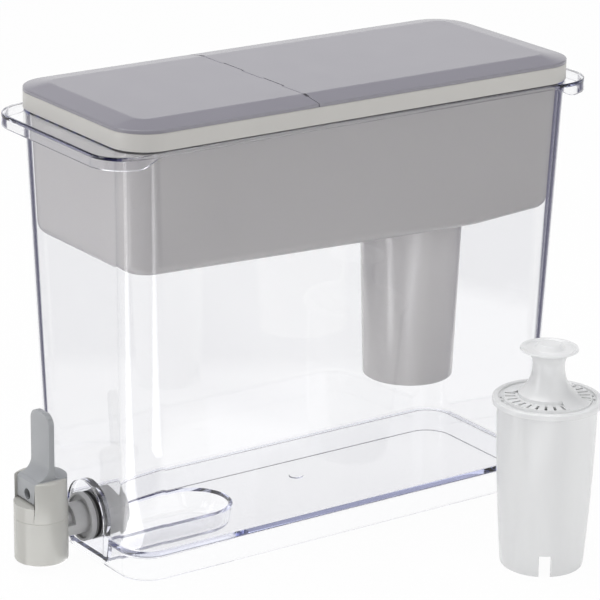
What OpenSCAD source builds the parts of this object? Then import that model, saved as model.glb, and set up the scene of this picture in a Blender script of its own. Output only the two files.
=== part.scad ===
// Gravity water filter with tap: a clear tank with a lever tap at its front end,
// a drop-in reservoir with a filter sleeve, a lid with a fill flap, one filter
// cartridge seated in the sleeve and a spare one standing beside the tank.
// Millimetres, +Z up. The origin is the centre of the tank's foot on the ground,
// X runs across the tank, Y along it, and the tap is at -Y.

/* [Tank] */
// Width of the tank at its foot
tank_w = 108.9; // [96:0.1:130]
// Length of the tank at its foot
tank_l = 287.3; // [260:0.1:340]
// Height of the tank's rim above the ground
tank_h = 250.8; // [236:0.1:300]
// Corner radius of the tank's walls
tank_r = 18; // [14:0.5:24]
// Wall thickness of the tank
tank_wall = 2.6; // [2:0.1:3.2]
// Draft angle of the long walls
side_draft = 1.88; // [1:0.01:2.4]
// Draft angle of the end walls
end_draft = 1.85; // [1:0.01:2.4]
// Height of the floor's upper face
floor_z = 17.2; // [14:0.1:19]
// Thickness of the floor
floor_t = 3; // [2:0.1:4]
// Radius of the moulding gate's nub on the floor
gate_r = 4.3; // [2:0.1:6]
// Height of the moulding gate's nub
gate_h = 0.5; // [0.3:0.1:1]

/* [Tank rim] */
// Thickness of the rim plate
rim_t = 2.4; // [1.8:0.1:3.5]
// Reach of the rim past each long wall
rim_side = 3; // [2.8:0.1:7]
// Reach of the handle flange past each end wall
rim_end = 14.7; // [12:0.1:22]
// Corner radius of the rim
rim_r = 22; // [18:0.5:26]
// Height of the turned-down lip of the handle flanges
lip_h = 7.6; // [5:0.1:12]
// Thickness of the turned-down lip
lip_t = 2.4; // [1.6:0.1:3]
// Length by which the lip runs back along the long walls
lip_back = 8.3; // [5:0.1:20]
// Thickness of the web that closes each end of the lip
web_t = 1.6; // [1:0.1:3]

/* [Sump and tap pad] */
// Half width of the sump at floor level
sump_r = 21; // [20.4:0.1:24]
// Inward slope of the sump's wall from floor to bottom
sump_slope = 2.6; // [1:0.1:3]
// Length of the sump from the tap pad to the centre of its round end
sump_l = 65.15; // [45:0.05:80]
// Height of the sump's bottom face above the ground
sump_z = 4; // [3.4:0.1:5]
// Thickness of the sump's bottom and walls
sump_t = 2.6; // [2:0.1:3]
// Radius of the tap pad's round top
pad_r = 19.5; // [18.5:0.1:20]
// Half width of the tap pad at the foot
pad_foot = 17.5; // [15:0.1:18.4]
// Thickness of the tap pad
pad_t = 5.5; // [4.5:0.1:7]
// Depth of the tap pad's outer face behind the foot's edge
pad_inset = 0.2; // [0.1:0.1:0.6]
// Height of the pad's round top centre above the tap axis
pad_rise = 1.5; // [0:0.1:3]

/* [Reservoir] */
// Clearance between the reservoir and the tank's long walls
res_gap_x = 0.9; // [0.6:0.05:2]
// Clearance between the reservoir and the tank's end walls
res_gap_y = 1.95; // [0.8:0.05:3]
// Wall thickness of the reservoir
res_wall = 2.2; // [1.6:0.1:2.6]
// Corner radius of the reservoir's walls
res_r = 16; // [12:0.5:18]
// Height and width of the eased edge round the reservoir's bottom
res_edge = 4; // [2:0.1:6]
// Depth of the reservoir at its front end
res_depth_front = 71.65; // [60:0.05:80]
// Depth of the reservoir at the sleeve, its lowest place
res_depth = 79.05; // [70:0.05:84]
// Depth of the reservoir at its rear end
res_depth_rear = 76.35; // [64:0.05:82]
// Thickness of the reservoir's lip
res_lip_t = 1.8; // [1.4:0.1:2.4]
// Reach of the lip past the reservoir's long walls
res_lip_x = 3.55; // [3.4:0.05:5]
// Reach of the lip past the reservoir's end walls
res_lip_y = 3; // [2.8:0.05:7]
// Corner radius of the lip
res_lip_r = 19.4; // [16:0.1:21]

/* [Filter sleeve] */
// Distance of the sleeve's axis from the foot's rear edge
sleeve_back = 63.25; // [54:0.05:80]
// Wall thickness of the sleeve
sleeve_wall = 1.6; // [1.2:0.1:2.4]
// Draft angle of the sleeve
sleeve_draft = 1.97; // [1.5:0.01:2]
// Clearance between the cartridge's shoulder and the sleeve
sleeve_gap = 0.85; // [0.7:0.05:1.6]
// Length of the sleeve below the cartridge's foot
sleeve_below = 10.3; // [8:0.1:20]
// Thickness of the ring at the sleeve's lower end
ring_t = 2; // [1.5:0.1:3]
// Reach of that ring inside the cartridge's foot radius
ring_in = 2; // [1:0.1:5]
// Clearance round the cartridge's flange in its seat
seat_gap = 0.35; // [0.3:0.05:0.8]
// Depth of the collar under the seat
collar_h = 5; // [3.5:0.1:8]
// Clearance of the key rib in the cartridge's notch, each side
key_gap = 0.4; // [0.3:0.05:1]
// Height by which the key rib enters the notch
key_h = 10; // [5:0.1:12]

/* [Lid base] */
// Clearance between the lid's skirt and the reservoir's lip
lid_gap = 0.8; // [0.6:0.05:2]
// Wall thickness of the skirt
lid_wall = 1.8; // [1.4:0.1:2.2]
// Height of the lid base above the tank's rim
lid_base_h = 10.8; // [9:0.1:14]
// Thickness of the deck
deck_t = 2.4; // [1.8:0.1:3]
// Gap between the skirt and the tank's rim
skirt_gap = 0.9; // [0.2:0.05:1.2]
// Width of the ledge that rests on the reservoir's lip
ledge_w = 1.6; // [1:0.1:2.4]
// Thickness of the ledge
ledge_t = 1.8; // [1.2:0.1:2.4]
// Thickness of the locating rib inside the reservoir's mouth
rib_t = 1.6; // [1.2:0.1:2.4]
// Clearance between the locating rib and the reservoir's wall
rib_gap = 0.7; // [0.4:0.05:1.5]
// Depth of the locating rib below the tank's rim
rib_depth = 3.8; // [2:0.1:8]
// Width of the fill opening
fill_w = 98; // [80:0.5:100]
// Corner radius of the fill opening
fill_r = 12; // [6:0.5:20]
// Width of deck between the fill opening and the seam
fill_margin = 5; // [4:0.1:12]

/* [Lid top] */
// Height of the upright edge of the lid's top
top_edge_h = 2; // [1.6:0.1:4]
// Rise of the bevel from the upright edge to the flat
top_rise = 2.4; // [1.5:0.1:4]
// Width of the bevel along the long sides
bevel_x = 15; // [10:0.1:18]
// Width of the bevel along the ends
bevel_y = 14.5; // [10:0.1:18]
// Thickness of the top's shell
shell_t = 2; // [1.8:0.1:2]
// Distance of the seam and hinge in front of the tank's centre
seam = 32.6; // [20:0.1:45]
// Gap at the seam outside the hinge
seam_gap = 0.6; // [0.4:0.05:1]
// Radius of the hinge knuckles
knuckle_r = 0.8; // [0.75:0.05:0.85]
// Clearance round the hinge knuckles
knuckle_gap = 0.2; // [0.15:0.05:0.3]
// Radius of the hinge rod
rod_r = 0.4; // [0.35:0.05:0.45]
// Running fit of the flap's knuckles on the rod
rod_fit = 0.05; // [0.03:0.01:0.08]
// Number of hinge knuckles, an odd number
knuckles = 5; // [3:2:9]

/* [Tap] */
// Height of the tap's inlet axis
tap_z = 24; // [23.5:0.1:25]
// Distance of the tap's axis in front of the pad
tap_reach = 29.85; // [29:0.05:36]
// Radius of the tap's barrel and bonnet
barrel_r = 15.3; // [15:0.1:17]
// Height of the outlet's edge above the ground
outlet_z = 5.5; // [4.5:0.1:7]
// Height of the joint between barrel and bonnet
joint_z = 30.9; // [30.4:0.1:33]
// Height of the bonnet's top
bonnet_z = 54.7; // [54:0.1:58]
// Radius of the water chamber
chamber_r = 10.5; // [10:0.1:11.5]
// Height of the chamber's floor above the outlet's edge
seat_h = 8; // [7:0.1:9]
// Radius of the outlet bore
outlet_r = 5.5; // [5:0.1:6]
// Length of the bonnet's spigot inside the chamber
spigot_h = 3; // [2:0.1:3.4]
// Radial fit of the spigot, the shank's nose and the nut's thread
tap_fit = 0.1; // [0.05:0.01:0.15]
// Thickness of the bonnet seal
seal_t = 1.5; // [1:0.1:1.6]
// Width of the bonnet seal
seal_w = 2.2; // [1.6:0.1:2.5]

/* [Tap lever] */
// Width of the slot for the lever
slot_w = 22.6; // [21:0.1:24]
// Clearance between the lever and the slot, each side
slot_gap = 0.35; // [0.3:0.05:0.6]
// Height of the slot's floor
slot_z = 40; // [39:0.1:41]
// Height of the lever's underside above the slot's floor
lever_lift = 1.2; // [1.1:0.1:1.6]
// Height of the lever's pivot
pivot_z = 47; // [46.5:0.1:47.5]
// Distance of the pivot in front of the tap's axis
pivot_y = 5.2; // [5:0.1:5.6]
// Distance of the lever's front face in front of the pivot
lever_front = 3.4; // [3:0.1:3.6]
// Radius of the lever's trunnions
trunnion_r = 2; // [1.6:0.1:2.4]
// Running fit of the trunnions
trunnion_fit = 0.05; // [0.03:0.01:0.1]
// Length of each trunnion inside its socket
trunnion_l = 1.5; // [1:0.1:2]
// Depth of the sockets past the trunnions' ends
trunnion_end = 0.5; // [0.3:0.1:1]
// Width of the paddle
paddle_w = 20; // [16:0.1:21]
// Thickness of the paddle
paddle_t = 3.4; // [2.8:0.1:4]
// Height of the paddle's top
paddle_z = 92.5; // [80:0.1:105]
// Corner radius of the paddle's top
paddle_r = 6.5; // [3:0.1:8]
// Edge cut on the block's front
lever_chamfer = 1.5; // [0.8:0.1:2]
// Radius of the fillet behind the paddle
heel_r = 3; // [1.5:0.1:5]
// Radius of the hole in the lever's front face
eye_r = 3.2; // [2:0.1:3.4]
// Distance of that hole's centre below the pivot
eye_drop = 1.7; // [1:0.1:2.5]
// Clearance beside the stem inside the lever
room_side = 1.1; // [0.6:0.1:1.5]
// Room inside the lever in front of its pivot
room_front = 1.2; // [0.9:0.1:1.6]
// Room inside the lever behind the stem's axis
room_back = 4.7; // [4.3:0.1:5.5]
// Room inside the lever above its pivot
room_top = 3.8; // [3.4:0.1:4.5]
// Clearance round the stem's cross pin in the lever
pin_gap = 0.55; // [0.4:0.05:0.7]

/* [Valve] */
// Radius of the valve stem
stem_r = 2.5; // [2.2:0.1:2.6]
// Clearance of the stem in the bonnet
stem_gap = 0.3; // [0.2:0.05:0.5]
// Height of the stem's top above the pivot
stem_top = 2.5; // [2:0.1:2.6]
// Radius of the stem's cross pin
pin_r = 1.2; // [1:0.1:1.3]
// Half length of the stem's cross pin
pin_half = 6.2; // [5.5:0.1:6.4]
// Radius of the seat cup
cup_r = 8; // [7:0.1:8.4]
// Thickness of the seat cup
cup_t = 5.2; // [4.5:0.1:5.6]
// Thickness of the seat cup below the stem's end
cup_floor = 2.2; // [1.4:0.1:3]
// Clearance of the closed seat cup above the chamber's floor
cup_gap = 0.3; // [0.2:0.05:0.4]
// Thickness of the stem's collar
collar_t = 1.5; // [1:0.1:2]
// Reach of the collar past the spring
collar_out = 0.7; // [0.4:0.1:1]
// Wire radius of the return spring
wire_r = 0.5; // [0.4:0.05:0.6]
// Mean radius of the return spring
coil_r = 4.4; // [4:0.1:4.6]
// Turns of the return spring
coil_turns = 5; // [4:1:7]

/* [Tap shank] */
// Radius of the shank between barrel and flange
shank_r = 9.35; // [9:0.05:10]
// Length of the shank that is a full round, next to the flange
shank_round = 7.9; // [5:0.1:9]
// Radius of the shank's threaded length
thread_r = 8.9; // [8:0.05:9]
// Clearance of the thread in the pad's hole
hole_gap = 0.35; // [0.2:0.05:0.6]
// Radius of the water way through the shank
way_r = 4.5; // [3.5:0.1:5]
// Radius of the shank's nose inside the barrel
nose_r = 5.9; // [5.6:0.1:6.2]
// Radius of the flange
flange_r = 14; // [13:0.1:15]
// Thickness of the flange
flange_t = 3.2; // [2.6:0.1:4]
// Depth of the recess in the flange's front face
flange_cut = 1.6; // [1:0.1:2]
// Rim width round that recess
flange_rim = 1.5; // [1:0.1:2]
// Thickness of the washers
washer_t = 1.6; // [1.2:0.1:2.4]
// Distance of the washers' edge inside the flange's
washer_in = 0.4; // [0.2:0.1:1]
// Width of the nut across its flats
nut_af = 27.3; // [25:0.1:28]
// Thickness of the nut
nut_t = 10.7; // [10:0.1:14]
// Chamfer of the nut's inner end
nut_chamfer = 2.6; // [1:0.1:3]
// Length of the thread past the nut
thread_past = 3.7; // [2:0.1:8]

/* [Cartridge] */
// Outer radius of the cartridge at its foot
cart_r0 = 23.5; // [22.5:0.1:24]
// Outer radius of the cartridge at its shoulder
cart_r1 = 28.1; // [27:0.1:29]
// Height of the flange's underside above the foot
cart_h = 96; // [90:0.5:104]
// Wall thickness of the cartridge
cart_wall = 1.4; // [1:0.1:1.8]
// Height of the cartridge's floor
cart_floor = 14; // [13.6:0.1:18]
// Width of the notches in the foot
notch_w = 6.6; // [5:0.1:8]
// Height of the notches
notch_h = 13; // [12.4:0.1:13.4]
// Reach of the flange past the shoulder
flange_out = 2.75; // [2:0.05:3.5]
// Thickness of the cartridge's flange
cap_flange_t = 3.5; // [2.5:0.1:4.5]
// Edge cut round the top of that flange
flange_ease = 0.6; // [0.4:0.1:1]
// Depth of the cap's spigot inside the housing
cap_spigot = 3; // [2:0.1:5]
// Width of the groove between bell and flange
groove_w = 2.8; // [2:0.1:4]
// Depth of that groove
groove_d = 1.2; // [0.6:0.1:1.8]
// Outer radius of the bell above the flange
bell_r = 24.8; // [24:0.1:25.5]
// Height of the bell from the flange to the neck
bell_h = 18.5; // [15:0.1:22]
// Radius of the neck
neck_r = 9; // [7:0.1:11]
// Wall thickness of the cap
cap_wall = 1.4; // [1.1:0.1:1.8]
// Length of the straight neck
neck_h = 1; // [0.5:0.1:3]
// Radius of the knob
knob_r = 16.4; // [14:0.1:19]
// Height of the knob's flare from the neck to its edge
knob_flare = 8.6; // [6:0.1:11]
// Thickness of the knob's edge
knob_t = 1.2; // [1:0.1:2.5]
// Edge cut round the knob's top
knob_ease = 0.5; // [0.3:0.1:0.8]
// Width of the rim round the knob's dished top
knob_rim = 2.4; // [1.6:0.1:3.5]
// Depth of that dish
knob_dish = 0.8; // [0.4:0.1:1.2]
// Radius of the knob's raised centre
boss_r = 8.2; // [5:0.1:11]
// Height of the knob's raised centre
boss_h = 2.2; // [1:0.1:4]
// Inner radius of the vents
vent_r = 16.6; // [15.5:0.1:18]
// Half angle of each vent sector
vent_half = 64; // [40:1:75]
// Number of slots in each vent sector
vents = 10; // [6:1:11]
// Width of a vent slot
vent_w = 1.5; // [1:0.1:2]
// Distance of the slots from the wall behind the vents
vent_land = 1.4; // [1:0.1:2]
// Distance of the slots from the bell's edge
vent_edge = 0.3; // [0.2:0.1:0.6]
// Turn of the first vent sector, with the second one opposite
vent_turn = 50; // [0:5:175]
// Thickness of the screens
screen_t = 1; // [0.6:0.1:1.5]
// Clearance of media and screens inside the housing
fill_gap = 0.3; // [0.2:0.05:0.6]

/* [Spare cartridge] */
// Place of the spare cartridge to the right of the tank's centre
spare_x = 148.5; // [125:0.1:200]
// Place of the spare cartridge behind the tank's centre
spare_y = 67.5; // [-60:0.1:160]
// Turn of the spare cartridge
spare_turn = 55.5; // [-180:0.5:180]

/* [Hidden] */
$fn = 64;
// Facets round a circle inside a hull
hull_fn = 32;
// Overshoot of cuts
cut = 1;
// Thickness of the thin slabs that hulls join
slab = 0.01;
// Sink of joined solids into each other
sink = 0.2;
// Gap where parts of one moulding meet
meet = 0.01;

// Half sizes of the tank's outer walls at height z
function tank_x(z) = tank_w / 2 + z * tan(side_draft);
function tank_y(z) = tank_l / 2 + z * tan(end_draft);
// Half sizes of the reservoir's outer walls at height z
function res_x(z) = tank_x(z) - tank_wall - res_gap_x;
function res_y(z) = tank_y(z) - tank_wall - res_gap_y;

rim_x = tank_x(tank_h) + rim_side;
rim_y = tank_y(tank_h) + rim_end;
lip_y = tank_y(tank_h) - lip_back;

// Tap pad and sump
pad_y = -(tank_l / 2 - pad_inset);
pad_in_y = pad_y + pad_t;
sump_y = pad_in_y + sump_l;
hole_r = thread_r + hole_gap;

// Cartridge, in its own frame with z = 0 at its foot
cap_flange_r = cart_r1 + flange_out;
bell_z = cart_h + cap_flange_t;
neck_z = bell_z + bell_h;
knob_z = neck_z + neck_h;
vent_z = bell_z + 0.7;
function cart_r(z) = cart_r1 - (cart_r1 - cart_r0) * pow(1 - z / cart_h, 1.7);

// Reservoir, sleeve and the seated cartridge
sleeve_y = tank_l / 2 - sleeve_back;
res_low_z = tank_h - res_depth;
seat_z = res_low_z + res_wall;
cart_z = seat_z - cart_h;
sleeve_z = cart_z - sleeve_below;
seat_r = cap_flange_r + seat_gap;
function sleeve_in(z) = cart_r1 + sleeve_gap - (seat_z - z) * tan(sleeve_draft);
lip_x_half = res_x(tank_h) + res_lip_x;
lip_y_half = res_y(tank_h) + res_lip_y;
lip_top = tank_h + res_lip_t;

// Lid
lid_x = lip_x_half + lid_gap + lid_wall;
lid_y = lip_y_half + lid_gap + lid_wall;
lid_r = res_lip_r + lid_gap + lid_wall;
deck_z = tank_h + lid_base_h;
edge_z = deck_z + top_edge_h;
top_z = edge_z + top_rise;
rib_z = tank_h - rib_depth;
rib_x = res_x(rib_z) - res_wall - rib_gap;
rib_y = res_y(rib_z) - res_wall - rib_gap;
rib_r = res_r - res_wall - rib_gap;
hinge_z = top_z - knuckle_r;
hinge_half = lid_x - bevel_x;
knuckle_pitch = 2 * hinge_half / knuckles;
hinge_edge = knuckle_r + knuckle_gap;
// Half width over which the panels' edges clear the hinge, where the bevel has
// dropped below the hinge's axis
relief_half = hinge_half + (knuckle_r + 0.1) / top_rise * bevel_x;

// Tap
tap_y = pad_y - tap_reach;
lever_y = tap_y - pivot_y;
chamber_z = outlet_z + seat_h;
pocket_z = slot_z - 4;
pocket_r = coil_r + wire_r + 1.6;
lever_z = slot_z + lever_lift;
lever_half = slot_w / 2 - slot_gap;
block_r = barrel_r - slot_gap;
paddle_y = tap_y;
cup_z = chamber_z + cup_gap;
spring_z = cup_z + cup_t + collar_t;
nose_y = tap_y + chamber_r - 0.4;
flange_y = pad_y - washer_t;
nut_y = pad_in_y + washer_t;
thread_y = nut_y + nut_t + thread_past;

// ---- shared shapes ----

// Flat rounded rectangle with half sizes x and y
module rounded(x, y, r, fn = 64) {
    square([2 * (x - r), 2 * y], center = true);
    square([2 * x, 2 * (y - r)], center = true);
    for (i = [-1, 1], j = [-1, 1])
        translate([i * (x - r), j * (y - r)]) circle(r, $fn = fn);
}

// Plate of that outline from z0 to z1
module plate(x, y, r, z0, z1) {
    translate([0, 0, z0]) linear_extrude(z1 - z0) rounded(x, y, r);
}

// Frame of that outline, t wide, from z0 to z1
module frame(x, y, r, t, z0, z1) {
    translate([0, 0, z0]) linear_extrude(z1 - z0) difference() {
        rounded(x, y, r);
        rounded(x - t, y - t, r - t);
    }
}

// Solid that follows the tank's drafted walls, set in by inset
module drafted(z0, z1, inset, r) {
    hull() for (z = [z0, z1 - slab])
        translate([0, 0, z]) linear_extrude(slab)
            rounded(tank_x(z) - inset, tank_y(z) - inset, r, hull_fn);
}

// Cylinder along Y between y0 and y1, on the tap's inlet axis
module rod_y(y0, y1, r) {
    translate([0, y0, tap_z]) rotate([-90, 0, 0]) cylinder(h = y1 - y0, r = r);
}

// Cylinder along X, centred on x = 0
module rod_x(y, z, r, half) {
    translate([-half, y, z]) rotate([0, 90, 0]) cylinder(h = 2 * half, r = r);
}

// ---- tank ----

// Round-ended outline of the sump with half width r
module sump_outline(r, y0) {
    translate([0, sump_y]) circle(r, $fn = 2 * hull_fn);
    translate([-r, y0]) square([2 * r, sump_y - y0]);
}

// Tapered sump solid, grown by t on its sides and bottom
module sump(t, y0, z1) {
    hull() {
        translate([0, 0, z1]) linear_extrude(slab) sump_outline(sump_r + t, y0);
        translate([0, 0, sump_z - t]) linear_extrude(slab)
            sump_outline(sump_r - sump_slope + t, y0);
    }
}

// Tap pad's outline pushed along Y
module pad(y0, y1) {
    side_z = tap_z + pad_rise;
    translate([0, y1, 0]) rotate([90, 0, 0]) linear_extrude(y1 - y0) {
        translate([0, side_z]) circle(pad_r);
        polygon([[-pad_foot, 0], [pad_foot, 0], [pad_r, side_z], [-pad_r, side_z]]);
    }
}

// The tank's walls with the tap pad. Walls, floor and rim are one moulding, and meet
// face to face.
module tank() {
    color("aliceblue", 0.45) difference() {
        union() {
            difference() {
                drafted(0, tank_h, 0, tank_r);
                drafted(-cut, tank_h + cut, tank_wall, tank_r - tank_wall);
            }
            pad(pad_y, pad_in_y);
        }
        pad(pad_y - barrel_r, pad_y);
        rod_y(pad_y - cut, pad_in_y + cut, hole_r);
    }
}

module tank_floor() {
    edge = tank_wall + meet;
    color("aliceblue", 0.45) difference() {
        union() {
            drafted(floor_z - floor_t, floor_z, edge, tank_r - edge);
            intersection() {
                sump(sump_t, pad_y, floor_z - sink);
                drafted(0, floor_z, edge, tank_r - edge);
            }
            translate([0, 0, floor_z - sink]) cylinder(h = gate_h + sink, r = gate_r);
        }
        sump(0, pad_in_y, floor_z);
        pad(pad_y, pad_in_y + meet);
    }
}

module tank_rim() {
    color("aliceblue", 0.45) difference() {
        union() {
            plate(rim_x, rim_y, rim_r, tank_h - rim_t, tank_h);
            for (end = [-1, 1]) {
                intersection() {
                    frame(rim_x, rim_y, rim_r, lip_t, tank_h - lip_h, tank_h);
                    translate([-rim_x, end > 0 ? lip_y : -rim_y, 0])
                        cube([2 * rim_x, rim_y - lip_y, tank_h]);
                }
                for (side = [-1, 1])
                    translate([side > 0 ? rim_x - rim_side - sink : -rim_x + sink,
                               end > 0 ? lip_y : -lip_y - web_t, tank_h - lip_h])
                        cube([rim_side, web_t, lip_h - sink]);
            }
        }
        drafted(0, tank_h + cut, -meet, tank_r);
    }
}

// ---- reservoir ----

// Bottom corner of the reservoir at one end: a small disc below a full one
module res_corner(side, end, z, inset) {
    r = res_r - inset;
    x = res_x(z) - inset - r;
    y = res_y(z) - inset - r;
    translate([side * x, end * y, z]) {
        cylinder(h = slab, r = r - res_edge, $fn = hull_fn);
        translate([0, 0, res_edge]) cylinder(h = slab, r = r, $fn = hull_fn);
    }
}

// Solid that fills the reservoir's outside (inset 0) or its inside
module res_solid(inset, z1) {
    low_x = res_x(res_low_z) - inset;
    hull() {
        translate([0, 0, z1 - slab]) linear_extrude(slab)
            rounded(res_x(z1) - inset, res_y(z1) - inset, res_r - inset, hull_fn);
        for (side = [-1, 1]) {
            res_corner(side, -1, tank_h - res_depth_front + inset, inset);
            res_corner(side, 1, tank_h - res_depth_rear + inset, inset);
        }
        translate([res_edge - low_x, sleeve_y, res_low_z + inset])
            cube([2 * (low_x - res_edge), slab, slab]);
        translate([-low_x, sleeve_y, res_low_z + inset + res_edge])
            cube([2 * low_x, slab, slab]);
    }
}

module sleeve_bore(z0, z1) {
    translate([0, sleeve_y, z0])
        cylinder(h = z1 - z0, r1 = sleeve_in(z0), r2 = sleeve_in(z1));
}

module reservoir() {
    ring_r = cart_r0 - ring_in;
    key_r = cart_r0 - cart_wall - 1.6;
    key_w = notch_w - 2 * key_gap;
    color("silver") {
        difference() {
            union() {
                res_solid(0, tank_h);
                plate(lip_x_half, lip_y_half, res_lip_r, tank_h, lip_top);
                translate([0, sleeve_y, sleeve_z])
                    cylinder(h = seat_z - sleeve_z, r1 = sleeve_in(sleeve_z) + sleeve_wall,
                             r2 = sleeve_in(seat_z) + sleeve_wall);
                translate([0, sleeve_y, seat_z - collar_h])
                    cylinder(h = collar_h, r = seat_r + sleeve_wall);
            }
            difference() {
                res_solid(res_wall, lip_top + cut);
                translate([0, sleeve_y, res_low_z - cut])
                    cylinder(h = cut + res_wall, r = seat_r + sleeve_wall);
            }
            translate([0, sleeve_y, seat_z]) cylinder(h = 2 * res_wall, r = seat_r);
            sleeve_bore(sleeve_z + ring_t, seat_z + cut);
            translate([0, sleeve_y, sleeve_z - cut]) cylinder(h = ring_t + 2 * cut, r = ring_r);
        }
        // key rib inside the sleeve, standing in the cartridge's notch
        intersection() {
            translate([-key_w / 2, sleeve_y - sleeve_in(seat_z), sleeve_z + ring_t - sink])
                cube([key_w, sleeve_in(seat_z) - key_r, sleeve_below - ring_t + key_h + sink]);
            translate([0, sleeve_y, sleeve_z])
                cylinder(h = seat_z - sleeve_z, r1 = sleeve_in(sleeve_z) + sink,
                         r2 = sleeve_in(seat_z) + sink);
        }
    }
}

// ---- lid ----

module lid_base() {
    fill_y0 = -(rib_y - rib_t);
    fill_y1 = -seam - fill_margin;
    color("beige") difference() {
        union() {
            plate(lid_x, lid_y, lid_r, deck_z - deck_t, deck_z);
            frame(lid_x, lid_y, lid_r, lid_wall, tank_h + skirt_gap, deck_z);
            frame(lid_x, lid_y, lid_r, lid_wall + lid_gap + ledge_w, lip_top,
                  lip_top + ledge_t);
            frame(rib_x, rib_y, rib_r, rib_t, rib_z, deck_z - deck_t);
        }
        translate([0, (fill_y0 + fill_y1) / 2, 0])
            plate(fill_w / 2, (fill_y1 - fill_y0) / 2, fill_r, deck_z - deck_t - cut,
                  deck_z + cut);
    }
}

// Bevelled top over the whole lid, or the room below it
module top_solid(inset, drop) {
    z0 = drop > 0 ? deck_z - cut : deck_z;
    hull() {
        translate([0, 0, z0]) linear_extrude(edge_z - drop - z0)
            rounded(lid_x - inset, lid_y - inset, lid_r - inset, hull_fn);
        translate([0, 0, top_z - drop - slab]) linear_extrude(slab)
            rounded(lid_x - inset - bevel_x, lid_y - inset - bevel_y,
                    max(lid_r - inset - bevel_y, 4), hull_fn);
    }
}

// Everything on one side of the seam, at least gap away from it
module beyond_seam(side, gap) {
    translate([-lid_x - cut, side > 0 ? -seam + gap : -seam - gap - 2 * lid_y, 0])
        cube([2 * (lid_x + cut), 2 * lid_y, top_z + cut]);
}

// One panel of the lid's top: side 1 behind the seam, side -1 in front of it
module panel(side) {
    difference() {
        intersection() {
            top_solid(0, 0);
            beyond_seam(side, seam_gap / 2);
        }
        translate([-relief_half, -seam - hinge_edge, deck_z - cut])
            cube([2 * relief_half, 2 * hinge_edge, lid_base_h]);
        intersection() {
            top_solid(lid_wall, shell_t);
            beyond_seam(side, hinge_edge + lid_wall);
        }
    }
}

// Knuckles number first, first + 2 ... of the hinge, joined to one panel
module hinge_knuckles(side, first, bore) {
    for (i = [first : 2 : knuckles - 1])
        translate([-hinge_half + (i + 0.5) * knuckle_pitch, -seam, hinge_z]) difference() {
            half = knuckle_pitch / 2 - knuckle_gap;
            union() {
                rod_x(0, 0, knuckle_r, half);
                translate([-half, side > 0 ? 0 : -hinge_edge - sink, -knuckle_r])
                    cube([2 * half, hinge_edge + sink, 2 * knuckle_r]);
            }
            rod_x(0, 0, bore, half + cut);
        }
}

module rear_panel() {
    color("lightsteelblue") {
        panel(1);
        hinge_knuckles(1, 0, rod_r);
    }
}

module fill_flap() {
    color("lightsteelblue") {
        panel(-1);
        hinge_knuckles(-1, 1, rod_r + rod_fit);
    }
}

module hinge_rod() {
    color("gray") rod_x(-seam, hinge_z, rod_r, hinge_half - knuckle_gap);
}

// ---- tap ----

// Upright cylinder on the tap's axis from z0 to z1
module post(z0, z1, r) {
    translate([0, tap_y, z0]) cylinder(h = z1 - z0, r = r);
}

module tap_barrel() {
    color("linen") difference() {
        post(outlet_z, joint_z, barrel_r);
        post(chamber_z, joint_z + cut, chamber_r);
        post(outlet_z - cut, chamber_z + cut, outlet_r);
        rod_y(tap_y, tap_y + barrel_r + cut, nose_r + tap_fit);
    }
}

module tap_bonnet() {
    color("linen") difference() {
        union() {
            post(joint_z, bonnet_z, barrel_r);
            post(joint_z - spigot_h, joint_z + sink, chamber_r - tap_fit);
        }
        post(joint_z - spigot_h - cut, pocket_z, pocket_r);
        post(pocket_z - cut, slot_z + cut, stem_r + stem_gap);
        translate([-slot_w / 2, tap_y - barrel_r - cut, slot_z])
            cube([slot_w, 2 * (barrel_r + cut), bonnet_z]);
        rod_x(lever_y, pivot_z, trunnion_r + trunnion_fit, slot_w / 2 + trunnion_l + trunnion_end);
    }
}

module bonnet_seal() {
    z1 = joint_z - spigot_h;
    color("dimgray") difference() {
        post(z1 - seal_t, z1, chamber_r - tap_fit);
        post(z1 - seal_t - cut, z1 + cut, chamber_r - tap_fit - seal_w);
    }
}

// Blade that widens into a concave fillet of radius r on one side
module blade_fillet(side, r) {
    y0 = paddle_y + (side > 0 ? paddle_t - sink : -r);
    translate([-paddle_w / 2, y0, bonnet_z - sink]) difference() {
        cube([paddle_w, r + sink, r + sink]);
        translate([-cut, side > 0 ? r + sink : 0, r + sink]) rotate([0, 90, 0])
            cylinder(h = paddle_w + 2 * cut, r = r);
    }
}

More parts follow.
